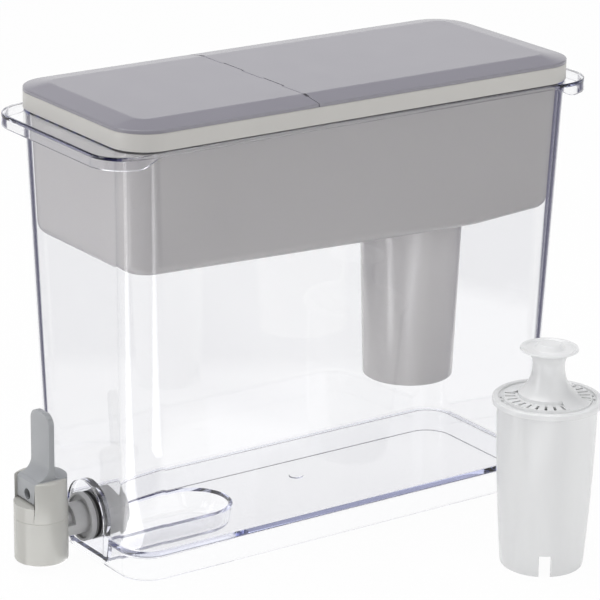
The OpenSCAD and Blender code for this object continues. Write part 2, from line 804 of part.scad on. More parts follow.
module tap_lever() {
    top_r = paddle_w / 2 - paddle_r;
    front_y = lever_y - lever_front;
    // the cross pin's slot, as long as the pin's travel along the lever
    slot_drop = 0.17;
    slot_travel = 1;
    slot_y = tap_y - 0.2;
    color("slategray") difference() {
        union() {
            intersection() {
                post(lever_z, bonnet_z, block_r);
                translate([-lever_half, front_y, lever_z])
                    cube([2 * lever_half, 2 * barrel_r, bonnet_z - lever_z]);
            }
            translate([0, paddle_y + paddle_t, 0]) rotate([90, 0, 0])
                linear_extrude(paddle_t) {
                    translate([-paddle_w / 2, bonnet_z - sink])
                        square([paddle_w, paddle_z - paddle_r - bonnet_z + sink]);
                    translate([-top_r, paddle_z - 2 * paddle_r])
                        square([2 * top_r, 2 * paddle_r]);
                    for (side = [-1, 1])
                        translate([side * top_r, paddle_z - paddle_r]) circle(paddle_r);
                }
            blade_fillet(-1, paddle_y - front_y - sink);
            blade_fillet(1, heel_r);
            rod_x(lever_y, pivot_z, trunnion_r, slot_w / 2 + trunnion_l);
        }
        // edge cut along the top of the front face
        translate([0, front_y, bonnet_z]) rotate([45, 0, 0])
            cube([4 * barrel_r, lever_chamfer * sqrt(2), lever_chamfer * sqrt(2)],
                 center = true);
        // pocket for the stem, its eye in the front face and the cross pin's slot
        translate([-stem_r - room_side, lever_y - room_front, lever_z - cut])
            cube([2 * (stem_r + room_side), pivot_y + room_front + room_back,
                  pivot_z + room_top - lever_z + cut]);
        translate([0, front_y - cut, pivot_z - eye_drop]) rotate([-90, 0, 0])
            cylinder(h = lever_front + cut, r = eye_r);
        for (y = [slot_y, slot_y + slot_travel])
            rod_x(y, pivot_z - slot_drop, pin_r + pin_gap, pin_half + pin_gap);
        translate([-pin_half - pin_gap, slot_y, pivot_z - slot_drop - pin_r - pin_gap])
            cube([2 * (pin_half + pin_gap), slot_travel, 2 * (pin_r + pin_gap)]);
    }
}

module valve_stem() {
    color("whitesmoke") difference() {
        union() {
            post(cup_z + cup_floor, pivot_z + stem_top, stem_r);
            post(cup_z + cup_t, spring_z, coil_r + wire_r + collar_out);
        }
        rod_x(tap_y, pivot_z, pin_r, stem_r + cut);
    }
}

module stem_pin() {
    color("gray") rod_x(tap_y, pivot_z, pin_r, pin_half);
}

module seat_cup() {
    color("gainsboro") difference() {
        post(cup_z, cup_z + cup_t, cup_r);
        post(cup_z + cup_floor, cup_z + cup_t + cut, stem_r);
    }
}

// Points of the wire's ring number i of n along the coil
function wire_ring(i, n, z0, z1, sides) =
    let (turn = 360 * coil_turns * i / n, z = z0 + (z1 - z0) * i / n)
    [for (k = [0 : sides - 1])
        let (a = 360 * k / sides, r = coil_r + wire_r * cos(a))
        [r * cos(turn), r * sin(turn), z + wire_r * sin(a)]];

module return_spring() {
    sides = 8;
    n = 16 * coil_turns;
    points = [for (i = [0 : n])
        each wire_ring(i, n, spring_z + wire_r, pocket_z - wire_r, sides)];
    walls = [for (i = [0 : n - 1], k = [0 : sides - 1])
        [i * sides + k, i * sides + (k + 1) % sides,
         (i + 1) * sides + (k + 1) % sides, (i + 1) * sides + k]];
    ends = [[for (k = [0 : sides - 1]) sides - 1 - k],
            [for (k = [0 : sides - 1]) n * sides + k]];
    color("silver") translate([0, tap_y, 0])
        polyhedron(points, concat(walls, ends), convexity = 10);
}

// ---- shank through the tank's wall ----

module tap_shank() {
    neck_y0 = tap_y + barrel_r;
    open_y = flange_y - flange_t - shank_round;
    color("lightgray") difference() {
        union() {
            rod_y(nose_y, flange_y, nose_r);
            difference() {
                rod_y(tap_y, flange_y - sink, shank_r);
                post(0, bonnet_z, barrel_r);
                translate([-barrel_r, tap_y, tap_z])
                    cube([2 * barrel_r, open_y - tap_y, barrel_r]);
            }
            difference() {
                rod_y(flange_y - flange_t, flange_y, flange_r);
                difference() {
                    rod_y(flange_y - flange_t - cut, flange_y - flange_t + flange_cut,
                          flange_r - flange_rim);
                    rod_y(neck_y0, flange_y, shank_r);
                }
            }
            rod_y(flange_y - sink, thread_y, thread_r);
        }
        rod_y(nose_y - cut, thread_y + cut, way_r);
    }
}

// Washer from y0 towards the tank's middle
module washer(y0) {
    difference() {
        rod_y(y0, y0 + washer_t, flange_r - washer_in);
        rod_y(y0 - cut, y0 + washer_t + cut, hole_r);
    }
}

module outer_washer() {
    color("gray") washer(flange_y);
}

module inner_washer() {
    color("gray") washer(pad_in_y);
}

module shank_nut() {
    corner_r = nut_af / 2 / cos(30);
    color("lightgray") difference() {
        translate([0, nut_y, tap_z]) rotate([-90, 0, 0]) intersection() {
            // corners point up and down
            rotate([0, 0, 30]) cylinder(h = nut_t, r = corner_r, $fn = 6);
            // the inner end is chamfered
            rotate_extrude() polygon([[0, 0], [corner_r + cut, 0],
                [corner_r + cut, nut_t - nut_chamfer - cut],
                [corner_r - nut_chamfer, nut_t], [0, nut_t]]);
        }
        rod_y(nut_y - cut, nut_y + nut_t + cut, thread_r + tap_fit / 2);
    }
}

// ---- filter cartridge, in its own frame ----

cart_steps = 12;

module cart_housing() {
    foot = 1.2; // height of the edge cut round the foot
    outside = [for (i = [1 : cart_steps]) let (z = cart_h * i / cart_steps) [cart_r(z), z]];
    inside = [for (i = [cart_steps : -1 : 2]) let (z = cart_h * i / cart_steps)
        [cart_r(z) - cart_wall, z]];
    color("white") difference() {
        rotate_extrude() polygon(concat(
            [[0, cart_floor - cart_wall], [cart_r0 - cart_wall, cart_floor - cart_wall],
             [cart_r0 - cart_wall, 0], [cart_r0 - foot / 2, 0], [cart_r(foot), foot]],
            outside, inside,
            [[cart_r(cart_floor) - cart_wall, cart_floor], [0, cart_floor]]));
        // two opposite notches in the foot
        translate([-notch_w / 2, -cart_r1, -cut]) cube([notch_w, 2 * cart_r1, notch_h + cut]);
    }
}

// Quarter ellipse of the bell from the flange to the neck, set in by t
function bell_curve(t) = [for (a = [0 : 10 : 90])
    [bell_r - t - (bell_r - neck_r) * sin(a), bell_z + bell_h * (1 - cos(a))]];

// Sector of a turned ring between radii r0 and r1 and heights z0 and z1
module sector(r0, r1, z0, z1, half) {
    rotate([0, 0, -half]) rotate_extrude(angle = 2 * half)
        translate([r0, z0]) square([r1 - r0, z1 - z0]);
}

module cap_vents() {
    pitch = 2 * vent_half / (vents - 0.3);
    difference() {
        sector(vent_r - cap_wall, bell_r, vent_z - cap_wall, vent_z, vent_half + 2);
        for (i = [0 : vents - 1])
            rotate([0, 0, (i - (vents - 1) / 2) * pitch])
                translate([vent_r + vent_land, -vent_w / 2, vent_z - 2 * cap_wall])
                    cube([bell_r - vent_edge - vent_r - vent_land, vent_w, 3 * cap_wall]);
    }
    // wall that closes the bell behind the vents
    sector(vent_r - cap_wall, vent_r, vent_z - sink,
           bell_z + bell_h * (1 - sqrt(1 - pow((bell_r - vent_r) / (bell_r - neck_r), 2)))
           + 0.1, vent_half + 2);
}

module cart_cap() {
    boss_z = knob_z + knob_flare + knob_t;
    dish_z = boss_z - knob_dish;
    groove_z = bell_z - groove_d;
    spigot_r = cart_r1 - cart_wall - fill_gap;
    spigot_z = cart_h - cap_spigot;
    color("white") {
        difference() {
            rotate_extrude() polygon(concat(
                [[spigot_r, spigot_z], [spigot_r, cart_h], [cap_flange_r, cart_h],
                 [cap_flange_r, bell_z - flange_ease], [cap_flange_r - flange_ease, bell_z],
                 [bell_r + groove_w, bell_z], [bell_r + groove_w - groove_d / 3, groove_z],
                 [bell_r, groove_z]],
                bell_curve(0),
                [for (a = [0 : 15 : 90])
                    [knob_r - (knob_r - neck_r) * cos(a), knob_z + knob_flare * sin(a)]],
                [[knob_r, boss_z - knob_ease], [knob_r - knob_ease, boss_z],
                 [knob_r - knob_rim, dish_z], [boss_r + 1, dish_z + 0.2], [boss_r, boss_z],
                 [boss_r - 2, boss_z + boss_h], [0, boss_z + boss_h], [0, neck_z]],
                [for (p = [len(bell_curve(0)) - 1 : -1 : 0]) bell_curve(cap_wall)[p]],
                [[bell_r - cap_wall, spigot_z]]));
            for (turn = [vent_turn, vent_turn + 180])
                rotate([0, 0, turn]) {
                    sector(vent_r, bell_r + slab, vent_z, knob_z, vent_half);
                    sector(vent_r - slab, bell_r - cap_wall, bell_z - 2, vent_z + cut,
                           vent_half);
                }
        }
        for (turn = [vent_turn, vent_turn + 180]) rotate([0, 0, turn]) cap_vents();
    }
}

module cart_media() {
    z0 = cart_floor + screen_t + fill_gap;
    z1 = cart_h - cap_spigot - screen_t - 2 * fill_gap;
    color("dimgray") translate([0, 0, z0])
        cylinder(h = z1 - z0, r1 = cart_r(z0) - cart_wall - fill_gap,
                 r2 = cart_r(z0) - cart_wall - fill_gap + 1.5);
}

module cart_screens() {
    for (z = [cart_floor, cart_h - cap_spigot - screen_t - fill_gap])
        color("white") translate([0, 0, z])
            cylinder(h = screen_t, r = cart_r(z) - cart_wall - fill_gap);
}

module seated() {
    translate([0, sleeve_y, cart_z]) children();
}

module standing() {
    translate([spare_x, spare_y, 0]) rotate([0, 0, spare_turn]) children();
}

tank();
tank_floor();
tank_rim();
reservoir();
lid_base();
rear_panel();
fill_flap();
hinge_rod();
tap_barrel();
tap_bonnet();
bonnet_seal();
tap_lever();
valve_stem();
stem_pin();
seat_cup();
return_spring();
tap_shank();
outer_washer();
inner_washer();
shank_nut();
seated() cart_housing();  // filter_housing
seated() cart_cap();  // filter_cap
seated() cart_media();  // filter_media
seated() cart_screens();  // filter_screens
standing() cart_housing();  // spare_housing
standing() cart_cap();  // spare_cap
standing() cart_media();  // spare_media
standing() cart_screens();  // spare_screens
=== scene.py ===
"""Gravity water filter with tap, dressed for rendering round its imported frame.

Every new piece is a surface worked out with numpy in millimetres, in the frame's own axes: rings
of points stacked along a profile, profiles turned about an axis, or outlines pushed along one.
"""
import math

import bmesh
import bpy
import numpy as np
from mathutils import Matrix, Vector


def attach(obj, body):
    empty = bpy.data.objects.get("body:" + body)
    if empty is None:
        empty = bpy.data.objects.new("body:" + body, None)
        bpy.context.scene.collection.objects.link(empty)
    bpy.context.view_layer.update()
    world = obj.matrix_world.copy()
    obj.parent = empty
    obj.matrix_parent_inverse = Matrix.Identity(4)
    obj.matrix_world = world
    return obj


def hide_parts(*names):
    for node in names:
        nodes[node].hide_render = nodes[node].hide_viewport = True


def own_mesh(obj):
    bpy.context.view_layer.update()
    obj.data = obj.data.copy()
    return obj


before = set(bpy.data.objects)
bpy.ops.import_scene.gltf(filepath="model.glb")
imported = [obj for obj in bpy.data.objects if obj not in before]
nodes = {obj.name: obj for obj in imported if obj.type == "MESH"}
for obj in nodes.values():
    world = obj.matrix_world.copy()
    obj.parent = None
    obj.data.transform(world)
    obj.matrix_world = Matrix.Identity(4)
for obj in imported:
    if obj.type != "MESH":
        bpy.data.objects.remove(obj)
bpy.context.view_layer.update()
MM = 0.001
MERGE = 2e-6  # points closer than this, in metres, become one
FLAT = 1.0  # faces of a copied node that turn by less than this, in degrees, become one
UP = (0, 0, 1)

# ---- measures of the object, in millimetres ----

FOOT_X, FOOT_Y, TANK_H = 54.45, 143.65, 250.8
DRAFT_X, DRAFT_Y = math.tan(math.radians(1.88)), math.tan(math.radians(1.85))
TANK_R, TANK_WALL, FLOOR_Z, FLOOR_T = 18.0, 2.6, 17.2, 3.0
RIM_T, RIM_R, RIM_X, RIM_Y = 2.4, 22.0, 65.68, 166.45
LIP_H, LIP_T, LIP_Y, LIP_FADE, WALL_REACH = 7.6, 2.4, 148.0, 16.0, 124.0
GATE_R, GATE_T = 4.3, 0.5
SUMP_R, SUMP_SLOPE, SUMP_Y, SUMP_Z, SUMP_T = 21.0, 2.6, -72.8, 4.0, 2.6
PAD_Y, PAD_T, PAD_R, PAD_FOOT, PAD_Z = -143.45, 5.5, 19.5, 17.5, 25.5
TAP_Y, TAP_Z, HOLE_R, INLET_R = -173.3, 24.0, 9.25, 6.0
RES_GAP_X, RES_GAP_Y, RES_WALL, RES_R, RES_EDGE = 3.5, 4.55, 2.2, 16.0, 6.5
RES_FRONT, RES_LOW, RES_REAR, RES_END, RES_GROWN = 179.15, 171.75, 174.45, 125.0, 1.03
SLEEVE_Y, SLEEVE_Z, SEAT_Z, SEAT_R, SLEEVE_R = 80.4, 67.65, 173.95, 31.2, 28.95
SLEEVE_WALL, SLEEVE_DRAFT = 1.6, math.tan(math.radians(1.97))
COLLAR_H, SEAT_H, RING_R, RING_T = 5.0, 4.4, 21.5, 2.0
KEY_HALF, KEY_IN, KEY_FOOT, KEY_TOP = 2.9, 3.0, 1.0, 23.1
RES_STOPS = (-100, -50, 0, 50, SLEEVE_Y, 100)
RES_LIP_X, RES_LIP_Y, RES_LIP_R, RES_LIP_T = 62.73, 150.2, 19.4, 1.8
LID_X, LID_Y, LID_R, DECK_Z, DECK_T = 65.33, 152.8, 22.0, 261.6, 2.4
EDGE_Z, TOP_Z, BEVEL_X, BEVEL_Y, SHELL_T = 263.6, 266.0, 15.0, 14.5, 2.0
RIB_X, RIB_Y, RIB_R, RIB_T, RIB_Z = 56.16, 144.18, 13.1, 1.6, 247.0
SKIRT_Z, SKIRT_T, LEDGE_IN, LEDGE_Z, LEDGE_TOP = 251.7, 1.8, 4.2, 252.6, 254.4
MOUTH_X, MOUTH_R, MOUTH_GAP = 49.0, 12.0, 5.0
SEAM_Y, SEAM_GAP, KNUCKLE_R, KNUCKLE_GAP, ROD_R = -32.6, 0.3, 0.8, 0.2, 0.4
HINGE_HALF, RELIEF_HALF, HINGE_Z, KNUCKLES, ARM = 50.33, 54.6, 265.2, 5, 1.2
PANEL_T, SEAM_WALL = 1.8, 2.8
BARREL_R, OUTLET_Z, JOINT_Z, BONNET_Z = 15.3, 5.5, 30.9, 54.7
CHAMBER_R, CHAMBER_Z, OUTLET_R, SLOT_W, SLOT_Z = 10.5, 13.5, 5.5, 22.6, 40.0
STEM_R, POCKET_R, POCKET_ROOF, SPIGOT_H, SPIGOT_GAP = 2.8, 6.5, 4.0, 3.0, 0.1
SLOT_REACH, SLOT_TOP = 17.0, 60.0
SOCKET_R, SOCKET_Y, SOCKET_Z, SOCKET_DEPTH = 2.05, -5.2, 47.0, 2.0
CART_R0, CART_R1, CART_H, CART_WALL, CART_FLOOR = 23.5, 28.1, 96.0, 1.4, 14.0
BELL_R, BELL_H, NECK_R, NECK_H, KNOB_R, FLARE_H, KNOB_T = 24.8, 18.5, 9.0, 1.0, 16.4, 8.6, 1.2
VENT_R, VENT_HALF, VENTS, VENT_W, VENT_TURN = 16.6, 64.0, 10, 1.5, 50.0
NOTCH_HALF, NOTCH_H, CAP_R, CAP_DEPTH, FLANGE_T, FLANGE_OUT = 3.3, 13.0, 26.4, 3.0, 3.5, 2.75
GROOVE_OUT, GROOVE_IN, GROOVE_D, BOSS_R, BOSS_TOP, BOSS_H = 2.8, 2.4, 1.2, 8.6, 6.2, 2.2
STEP_UP, STEP_T = 0.7, 1.4


# ---- outlines and profiles ----

def circle(across, up, r, n):
    """Closed circle of n points round (across, up): r times (cos a, sin a). r is one radius or
    one each way."""
    a = np.linspace(0, 2 * np.pi, n, endpoint=False)
    return np.stack([np.cos(a), np.sin(a)], 1) * r + (across, up)


def outline(hx, hy, r, stops=(), n=10):
    """Rounded rectangle from above with half sizes hx and hy. The right half is a quarter arc,
    the stops along the long side and a second quarter arc. The left half is its mirror image,
    so point k and point -1-k face each other across X."""
    a = np.linspace(0, np.pi / 2, n + 1)
    front = np.stack([hx - r + r * np.sin(a), r - hy - r * np.cos(a)], 1)
    side = np.stack([np.full(len(stops), hx), np.asarray(stops, float)], 1).reshape(-1, 2)
    right = np.concatenate([front, side, front[::-1] * [1, -1]])
    return np.concatenate([right, right[::-1] * [-1, 1]])


def eased(points, radii, n=5):
    """Polyline with corner k replaced by an arc of radius radii[k] that is tangent to both
    of its sides; a radius of 0 keeps the corner."""
    points = np.asarray(points, float)
    run = []
    for k, r in enumerate(radii):
        p = points[k]
        if not r:
            run.append(p[None])
            continue
        a, b = points[k - 1] - p, points[(k + 1) % len(points)] - p
        a, b = a / np.linalg.norm(a), b / np.linalg.norm(b)
        half = math.acos(np.clip(a @ b, -1, 1)) / 2
        centre = p + (a + b) / np.linalg.norm(a + b) * r / math.sin(half)
        u, v = p + a * r / math.tan(half) - centre, p + b * r / math.tan(half) - centre
        turn = math.pi - 2 * half
        t = np.linspace(0, 1, n + 1)[:, None]
        run.append(centre + (np.sin((1 - t) * turn) * u + np.sin(t * turn) * v) / math.sin(turn))
    return np.concatenate(run)


# ---- meshes from rings ----

def quads(m, n, closed=False):
    """Quads between m rings of n points each; closed also joins the last ring to the first."""
    i, j = np.arange(m if closed else m - 1)[:, None], np.arange(n)[None]
    a, b = i * n + j, i * n + (j + 1) % n
    c, d = (i + 1) % m * n + (j + 1) % n, (i + 1) % m * n + j
    return np.stack([a, b, c, d], -1).reshape(-1, 4)


def ladder(first, n):
    """Quads across one ring of n points, each rung from point k to the point that faces it."""
    k = np.arange(n // 2 - 1)
    return first + np.stack([k, k + 1, n - 2 - k, n - 1 - k], 1)


def mesh_object(name, points, faces):
    """Object from points in millimetres and faces."""
    mesh = bpy.data.meshes.new(name)
    mesh.from_pydata((np.asarray(points, float) * MM).tolist(), [], [list(f) for f in faces])
    return settled(name, mesh)


def linked(name, data):
    """Object of a mesh, lamp or camera, at the origin."""
    piece = bpy.data.objects.new(name, data)
    bpy.context.collection.objects.link(piece)
    return piece


def settled(name, mesh):
    """Object from a mesh, with its doubles merged, its slivers gone and its faces outwards."""
    bm = bmesh.new()
    bm.from_mesh(mesh)
    bmesh.ops.remove_doubles(bm, verts=bm.verts, dist=MERGE)
    bmesh.ops.dissolve_degenerate(bm, edges=bm.edges, dist=MERGE)
    bmesh.ops.recalc_face_normals(bm, faces=bm.faces)
    bm.to_mesh(mesh)
    bm.free()
    return linked(name, mesh)


def stacked(name, rings):
    """Closed solid: rings of equal length joined in order, with a ladder over the first and
    the last one."""
    rings = np.asarray(rings, float)
    m, n = rings.shape[:2]
    faces = np.concatenate([quads(m, n), ladder(0, n), ladder((m - 1) * n, n)])
    return mesh_object(name, rings.reshape(-1, 3), faces)


def turned(name, profile, centre, axis="Z", n=128, arc=None):
    """Solid of a closed profile of (radius, height) turned about an axis through centre. A
    point at angle a has radius r: (r cos a, r sin a, height). An arc (start, end) in degrees
    makes an open turn with both ends closed by the profile's own outline."""
    profile = np.asarray(profile, float)
    if arc is None:
        a = np.linspace(0, 2 * np.pi, n, endpoint=False)[:, None]
    else:
        a = np.radians(np.linspace(arc[0], arc[1], n + 1))[:, None]
    r, h = profile[None, :, 0], profile[None, :, 1]
    grid = np.stack([r * np.cos(a), r * np.sin(a), h + 0 * a], -1)
    if axis == "Y":
        grid = np.stack([grid[..., 0], grid[..., 2], -grid[..., 1]], -1)
    faces = quads(grid.shape[0], grid.shape[1], closed=arc is None).tolist()
    if arc is not None:
        last = (grid.shape[0] - 1) * grid.shape[1]
        faces += [list(range(grid.shape[1])), list(range(last, last + grid.shape[1]))]
    return mesh_object(name, grid.reshape(-1, 3) + centre, faces)


def pushed(name, shape, start, end, axis="Y"):
    """Prism of a closed (across, up) outline between two places along an axis."""
    shape = np.asarray(shape, float)
    along = np.repeat([start, end], len(shape))
    across, up = np.tile(shape[:, 0], 2), np.tile(shape[:, 1], 2)
    points = {"Y": (across, along, up), "X": (along, across, up), "Z": (across, up, along)}[axis]
    n = len(shape)
    faces = quads(2, n).tolist() + [list(range(n)), list(range(n, 2 * n))]
    return mesh_object(name, np.stack(points, 1), faces)


def blocks(name, lows, highs, turns=None, centre=(0, 0, 0)):
    """One mesh of boxes between low and high corners, each turned about Z by its own angle
    in degrees and moved to centre."""
    lows, highs = np.atleast_2d(np.asarray(lows, float)), np.atleast_2d(np.asarray(highs, float))
    pick = np.array([[i, j, k] for k in (0, 1) for j in (0, 1) for i in (0, 1)])[None]
    points = lows[:, None] * (1 - pick) + highs[:, None] * pick
    a = np.radians(np.zeros(len(lows)) if turns is None else np.asarray(turns, float))[:, None]
    x, y = points[..., 0], points[..., 1]
    points = np.stack([x * np.cos(a) - y * np.sin(a), x * np.sin(a) + y * np.cos(a),
                       points[..., 2]], -1) + centre
    box = np.array([[0, 2, 3, 1], [4, 5, 7, 6], [0, 1, 5, 4], [2, 6, 7, 3], [0, 4, 6, 2],
                    [1, 3, 7, 5]])
    faces = (box[None] + 8 * np.arange(len(lows))[:, None, None]).reshape(-1, 4)
    return mesh_object(name, points.reshape(-1, 3), faces)


def carved(piece, *steps):
    """Joins ('UNION'), cuts ('DIFFERENCE') or keeps the common part ('INTERSECT') of the piece
    and each tool in turn, as exact solid operations, and bakes the result."""
    for kind, tool in steps:
        step = piece.modifiers.new(kind, "BOOLEAN")
        step.operation, step.solver, step.object = kind, "EXACT", tool
    shape = bpy.data.meshes.new_from_object(
        piece.evaluated_get(bpy.context.evaluated_depsgraph_get()))
    name = piece.name
    for used in [piece] + [tool for _, tool in steps]:
        bpy.data.objects.remove(used)
    return settled(name, shape)


def dressed(piece, material, body, replaces=(), smooth=32, bevel=0.0, segments=2):
    """Smooth shading up to an angle, an optional rounded edge on all sharper ones, a
    material, and the piece's place in the frame."""
    mesh = piece.data
    mesh.polygons.foreach_set("use_smooth", np.ones(len(mesh.polygons), bool))
    if bevel:
        edge = piece.modifiers.new("eased edges", "BEVEL")
        edge.width, edge.segments, edge.limit_method = bevel * MM, segments, "ANGLE"
        edge.angle_limit, edge.use_clamp_overlap = math.radians(smooth), True
        edge.miter_outer = "MITER_ARC"
        edge.harden_normals = True
    else:
        mesh.set_sharp_from_angle(angle=math.radians(smooth))
        weigh = piece.modifiers.new("weighted normals", "WEIGHTED_NORMAL")
        weigh.keep_sharp = True
    mesh.materials.clear()
    mesh.materials.append(material)
    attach(piece, body)
    if replaces:
        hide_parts(*replaces)
    return piece


def node_copy(node, name):
    """Merged copy of a frame node, with its flat faces joined up, ready for rounded edges."""
    mesh = nodes[node].data.copy()
    bm = bmesh.new()
    bm.from_mesh(mesh)
    bmesh.ops.remove_doubles(bm, verts=bm.verts, dist=MERGE)
    bmesh.ops.dissolve_limit(bm, angle_limit=math.radians(FLAT), verts=bm.verts, edges=bm.edges)
    bm.to_mesh(mesh)
    bm.free()
    return linked(name, mesh)


# ---- materials ----

def new_material(name):
    """Material with its node tree and its surface shader."""
    material = bpy.data.materials.new(name)
    material.use_nodes = True
    tree = material.node_tree
    return material, tree, tree.nodes["Principled BSDF"]


def spot(tree):
    """Place on the object, in metres."""
    return tree.nodes.new("ShaderNodeTexCoord").outputs["Object"]


def grain(tree, scale, detail=2.0, stretch=None):
    """Noise over the object's own coordinates, scale in features per metre."""
    noise = tree.nodes.new("ShaderNodeTexNoise")
    noise.inputs["Scale"].default_value = scale
    noise.inputs["Detail"].default_value = detail
    source = spot(tree)
    if stretch:
        mapping = tree.nodes.new("ShaderNodeMapping")
        mapping.inputs["Scale"].default_value = stretch
        tree.links.new(source, mapping.inputs["Vector"])
        source = mapping.outputs["Vector"]
    tree.links.new(source, noise.inputs["Vector"])
    return noise.outputs["Fac"]


def spread(tree, source, low, high, bottom=0.3, top=0.7):
    """Maps a value between bottom and top to low and high, and holds it at them beyond."""
    span = tree.nodes.new("ShaderNodeMapRange")
    for key, value in (("From Min", bottom), ("From Max", top), ("To Min", low), ("To Max", high)):
        span.inputs[key].default_value = value
    tree.links.new(source, span.inputs["Value"])
    return span.outputs["Result"]


def dot(tree, source, direction):
    """How far a place or direction reaches along another direction."""
    product = tree.nodes.new("ShaderNodeVectorMath")
    product.operation = "DOT_PRODUCT"
    product.inputs[1].default_value = direction
    tree.links.new(source, product.inputs[0])
    return product.outputs["Value"]


def sums(tree, operation, first, second):
    """One step of arithmetic between two values; each is an output or a number."""
    step = tree.nodes.new("ShaderNodeMath")
    step.operation = operation
    for k, value in enumerate((first, second)):
        if isinstance(value, (int, float)):
            step.inputs[k].default_value = value
        else:
            tree.links.new(value, step.inputs[k])
    return step.outputs[0]


def tinted(tree, source, dark, light):
    """Colour between dark and light, each an output or three numbers, by a value from 0 to 1."""
    mix = tree.nodes.new("ShaderNodeMix")
    mix.data_type = "RGBA"
    for socket, colour in ((mix.inputs[6], dark), (mix.inputs[7], light)):
        if isinstance(colour, bpy.types.NodeSocket):
            tree.links.new(colour, socket)
        else:
            socket.default_value = (*colour, 1)
    tree.links.new(source, mix.inputs[0])
    return mix.outputs[2]


def bumped(tree, shader, source, strength, distance):
    """Relief of the shader's surface from a height value."""
    bump = tree.nodes.new("ShaderNodeBump")
    bump.inputs["Strength"].default_value = strength
    bump.inputs["Distance"].default_value = distance
    tree.links.new(source, bump.inputs["Height"])
    tree.links.new(bump.outputs["Normal"], shader.inputs["Normal"])


def moulded(name, colour, rough=0.4, swing=0.012, texture=900.0, bump=0.03, gloss=0.5,
            polish_and_painted_light=None):
    """Moulded plastic: a slow drift of colour, a satin that varies a little from place to
    place, and the fine grain of the mould. The last argument is a height in metres below which
    the plastic is more polished, and a gain by which its colour is painted lighter there as
    painted light."""
    material, tree, shader = new_material(name)
    colour = np.asarray(colour)
    drift = spread(tree, grain(tree, 18.0, 1.0), 0.0, 1.0, 0.2, 0.8)
    paint = tinted(tree, drift, colour * (1 - swing), np.minimum(colour * (1 + swing), 1))
    if polish_and_painted_light:
        height, painted_light_gain = polish_and_painted_light
        below = spread(tree, dot(tree, spot(tree), UP), 1.0, 0.0, height - 0.005, height)
        # painted light: below the height the colour is lightened by the gain, for light falling on
        # the lower part
        paint = tinted(tree, below, paint, np.minimum(colour * painted_light_gain, 1))
        tree.links.new(spread(tree, below, gloss, 1.0, 0.0, 1.0),
                       shader.inputs["Specular IOR Level"])
    tree.links.new(paint, shader.inputs["Base Color"])
    tree.links.new(spread(tree, grain(tree, 60.0, 1.0), rough - 0.01, rough + 0.02, 0.2, 0.8),
                   shader.inputs["Roughness"])
    shader.inputs["Specular IOR Level"].default_value = gloss
    bumped(tree, shader, grain(tree, texture, 3.0), bump, 0.0002)
    return material


def clear_plastic(name):
    """Clear styrene: refracting, faintly blue through its thickness, with a very shallow
    flow in its surface. Lamps shine through it."""
    material, tree, shader = new_material(name)
    shader.inputs["Base Color"].default_value = (1, 1, 1, 1)
    shader.inputs["Transmission Weight"].default_value = 1.0
    shader.inputs["IOR"].default_value = 1.50
    tree.links.new(spread(tree, grain(tree, 25.0), 0.0, 0.02), shader.inputs["Roughness"])
    bumped(tree, shader, grain(tree, 14.0, 1.0), 0.05, 0.0006)
    path = tree.nodes.new("ShaderNodeLightPath")
    clear = tree.nodes.new("ShaderNodeBsdfTransparent")
    mix = tree.nodes.new("ShaderNodeMixShader")
    tree.links.new(path.outputs["Is Shadow Ray"], mix.inputs[0])
    tree.links.new(shader.outputs[0], mix.inputs[1])
    tree.links.new(clear.outputs[0], mix.inputs[2])
    tint = tree.nodes.new("ShaderNodeVolumeAbsorption")
    tint.inputs["Color"].default_value = (0.05, 0.15, 0.825, 1)
    tint.inputs["Density"].default_value = 4.0
    out = tree.nodes["Material Output"]
    tree.links.new(mix.outputs[0], out.inputs["Surface"])
    tree.links.new(tint.outputs[0], out.inputs["Volume"])
    return material


def drawn_steel(name):
    """Drawn stainless wire: fine streaks along X in roughness and bump."""
    material, tree, shader = new_material(name)
    shader.inputs["Metallic"].default_value = 1.0
    streaks = grain(tree, 400.0, 4.0, stretch=(0.05, 1, 1))
    tree.links.new(tinted(tree, spread(tree, streaks, 0, 1), (0.52, 0.52, 0.53),
                          (0.64, 0.64, 0.65)), shader.inputs["Base Color"])
    tree.links.new(spread(tree, streaks, 0.22, 0.38), shader.inputs["Roughness"])
    bumped(tree, shader, streaks, 0.05, 0.0001)
    return material


def granules(name):
    """Carbon bed: packed dark grains, with painted shade darkening the gaps between them."""
    material, tree, shader = new_material(name)
    cells = tree.nodes.new("ShaderNodeTexVoronoi")
    cells.inputs["Scale"].default_value = 900.0
    tree.links.new(spot(tree), cells.inputs["Vector"])
    # painted shade: the colour darkens towards each grain's cell edge, for the shade between
    # packed grains
    tree.links.new(tinted(tree, spread(tree, cells.outputs["Distance"], 0, 1, 0.1, 0.6),
                          (0.06, 0.06, 0.06), (0.015, 0.015, 0.015)), shader.inputs["Base Color"])
    shader.inputs["Roughness"].default_value = 0.75
    bumped(tree, shader, cells.outputs["Distance"], 0.8, 0.0006)
    return material


def woven_mesh(name):
    """Fine dark screen: two crossed waves give the threads their relief."""
    material, tree, shader = new_material(name)
    waves = []
    for direction in "XY":
        wave = tree.nodes.new("ShaderNodeTexWave")
        wave.bands_direction = direction
        wave.inputs["Scale"].default_value = 400.0
        tree.links.new(spot(tree), wave.inputs["Vector"])
        waves.append(wave.outputs["Fac"])
    threads = sums(tree, "ADD", *waves)
    tree.links.new(tinted(tree, spread(tree, threads, 0, 1, 0.2, 1.6),
                          (0.02, 0.02, 0.02), (0.09, 0.09, 0.088)),
                   shader.inputs["Base Color"])
    shader.inputs["Roughness"].default_value = 0.7
    bumped(tree, shader, threads, 0.6, 0.0002)
    return material


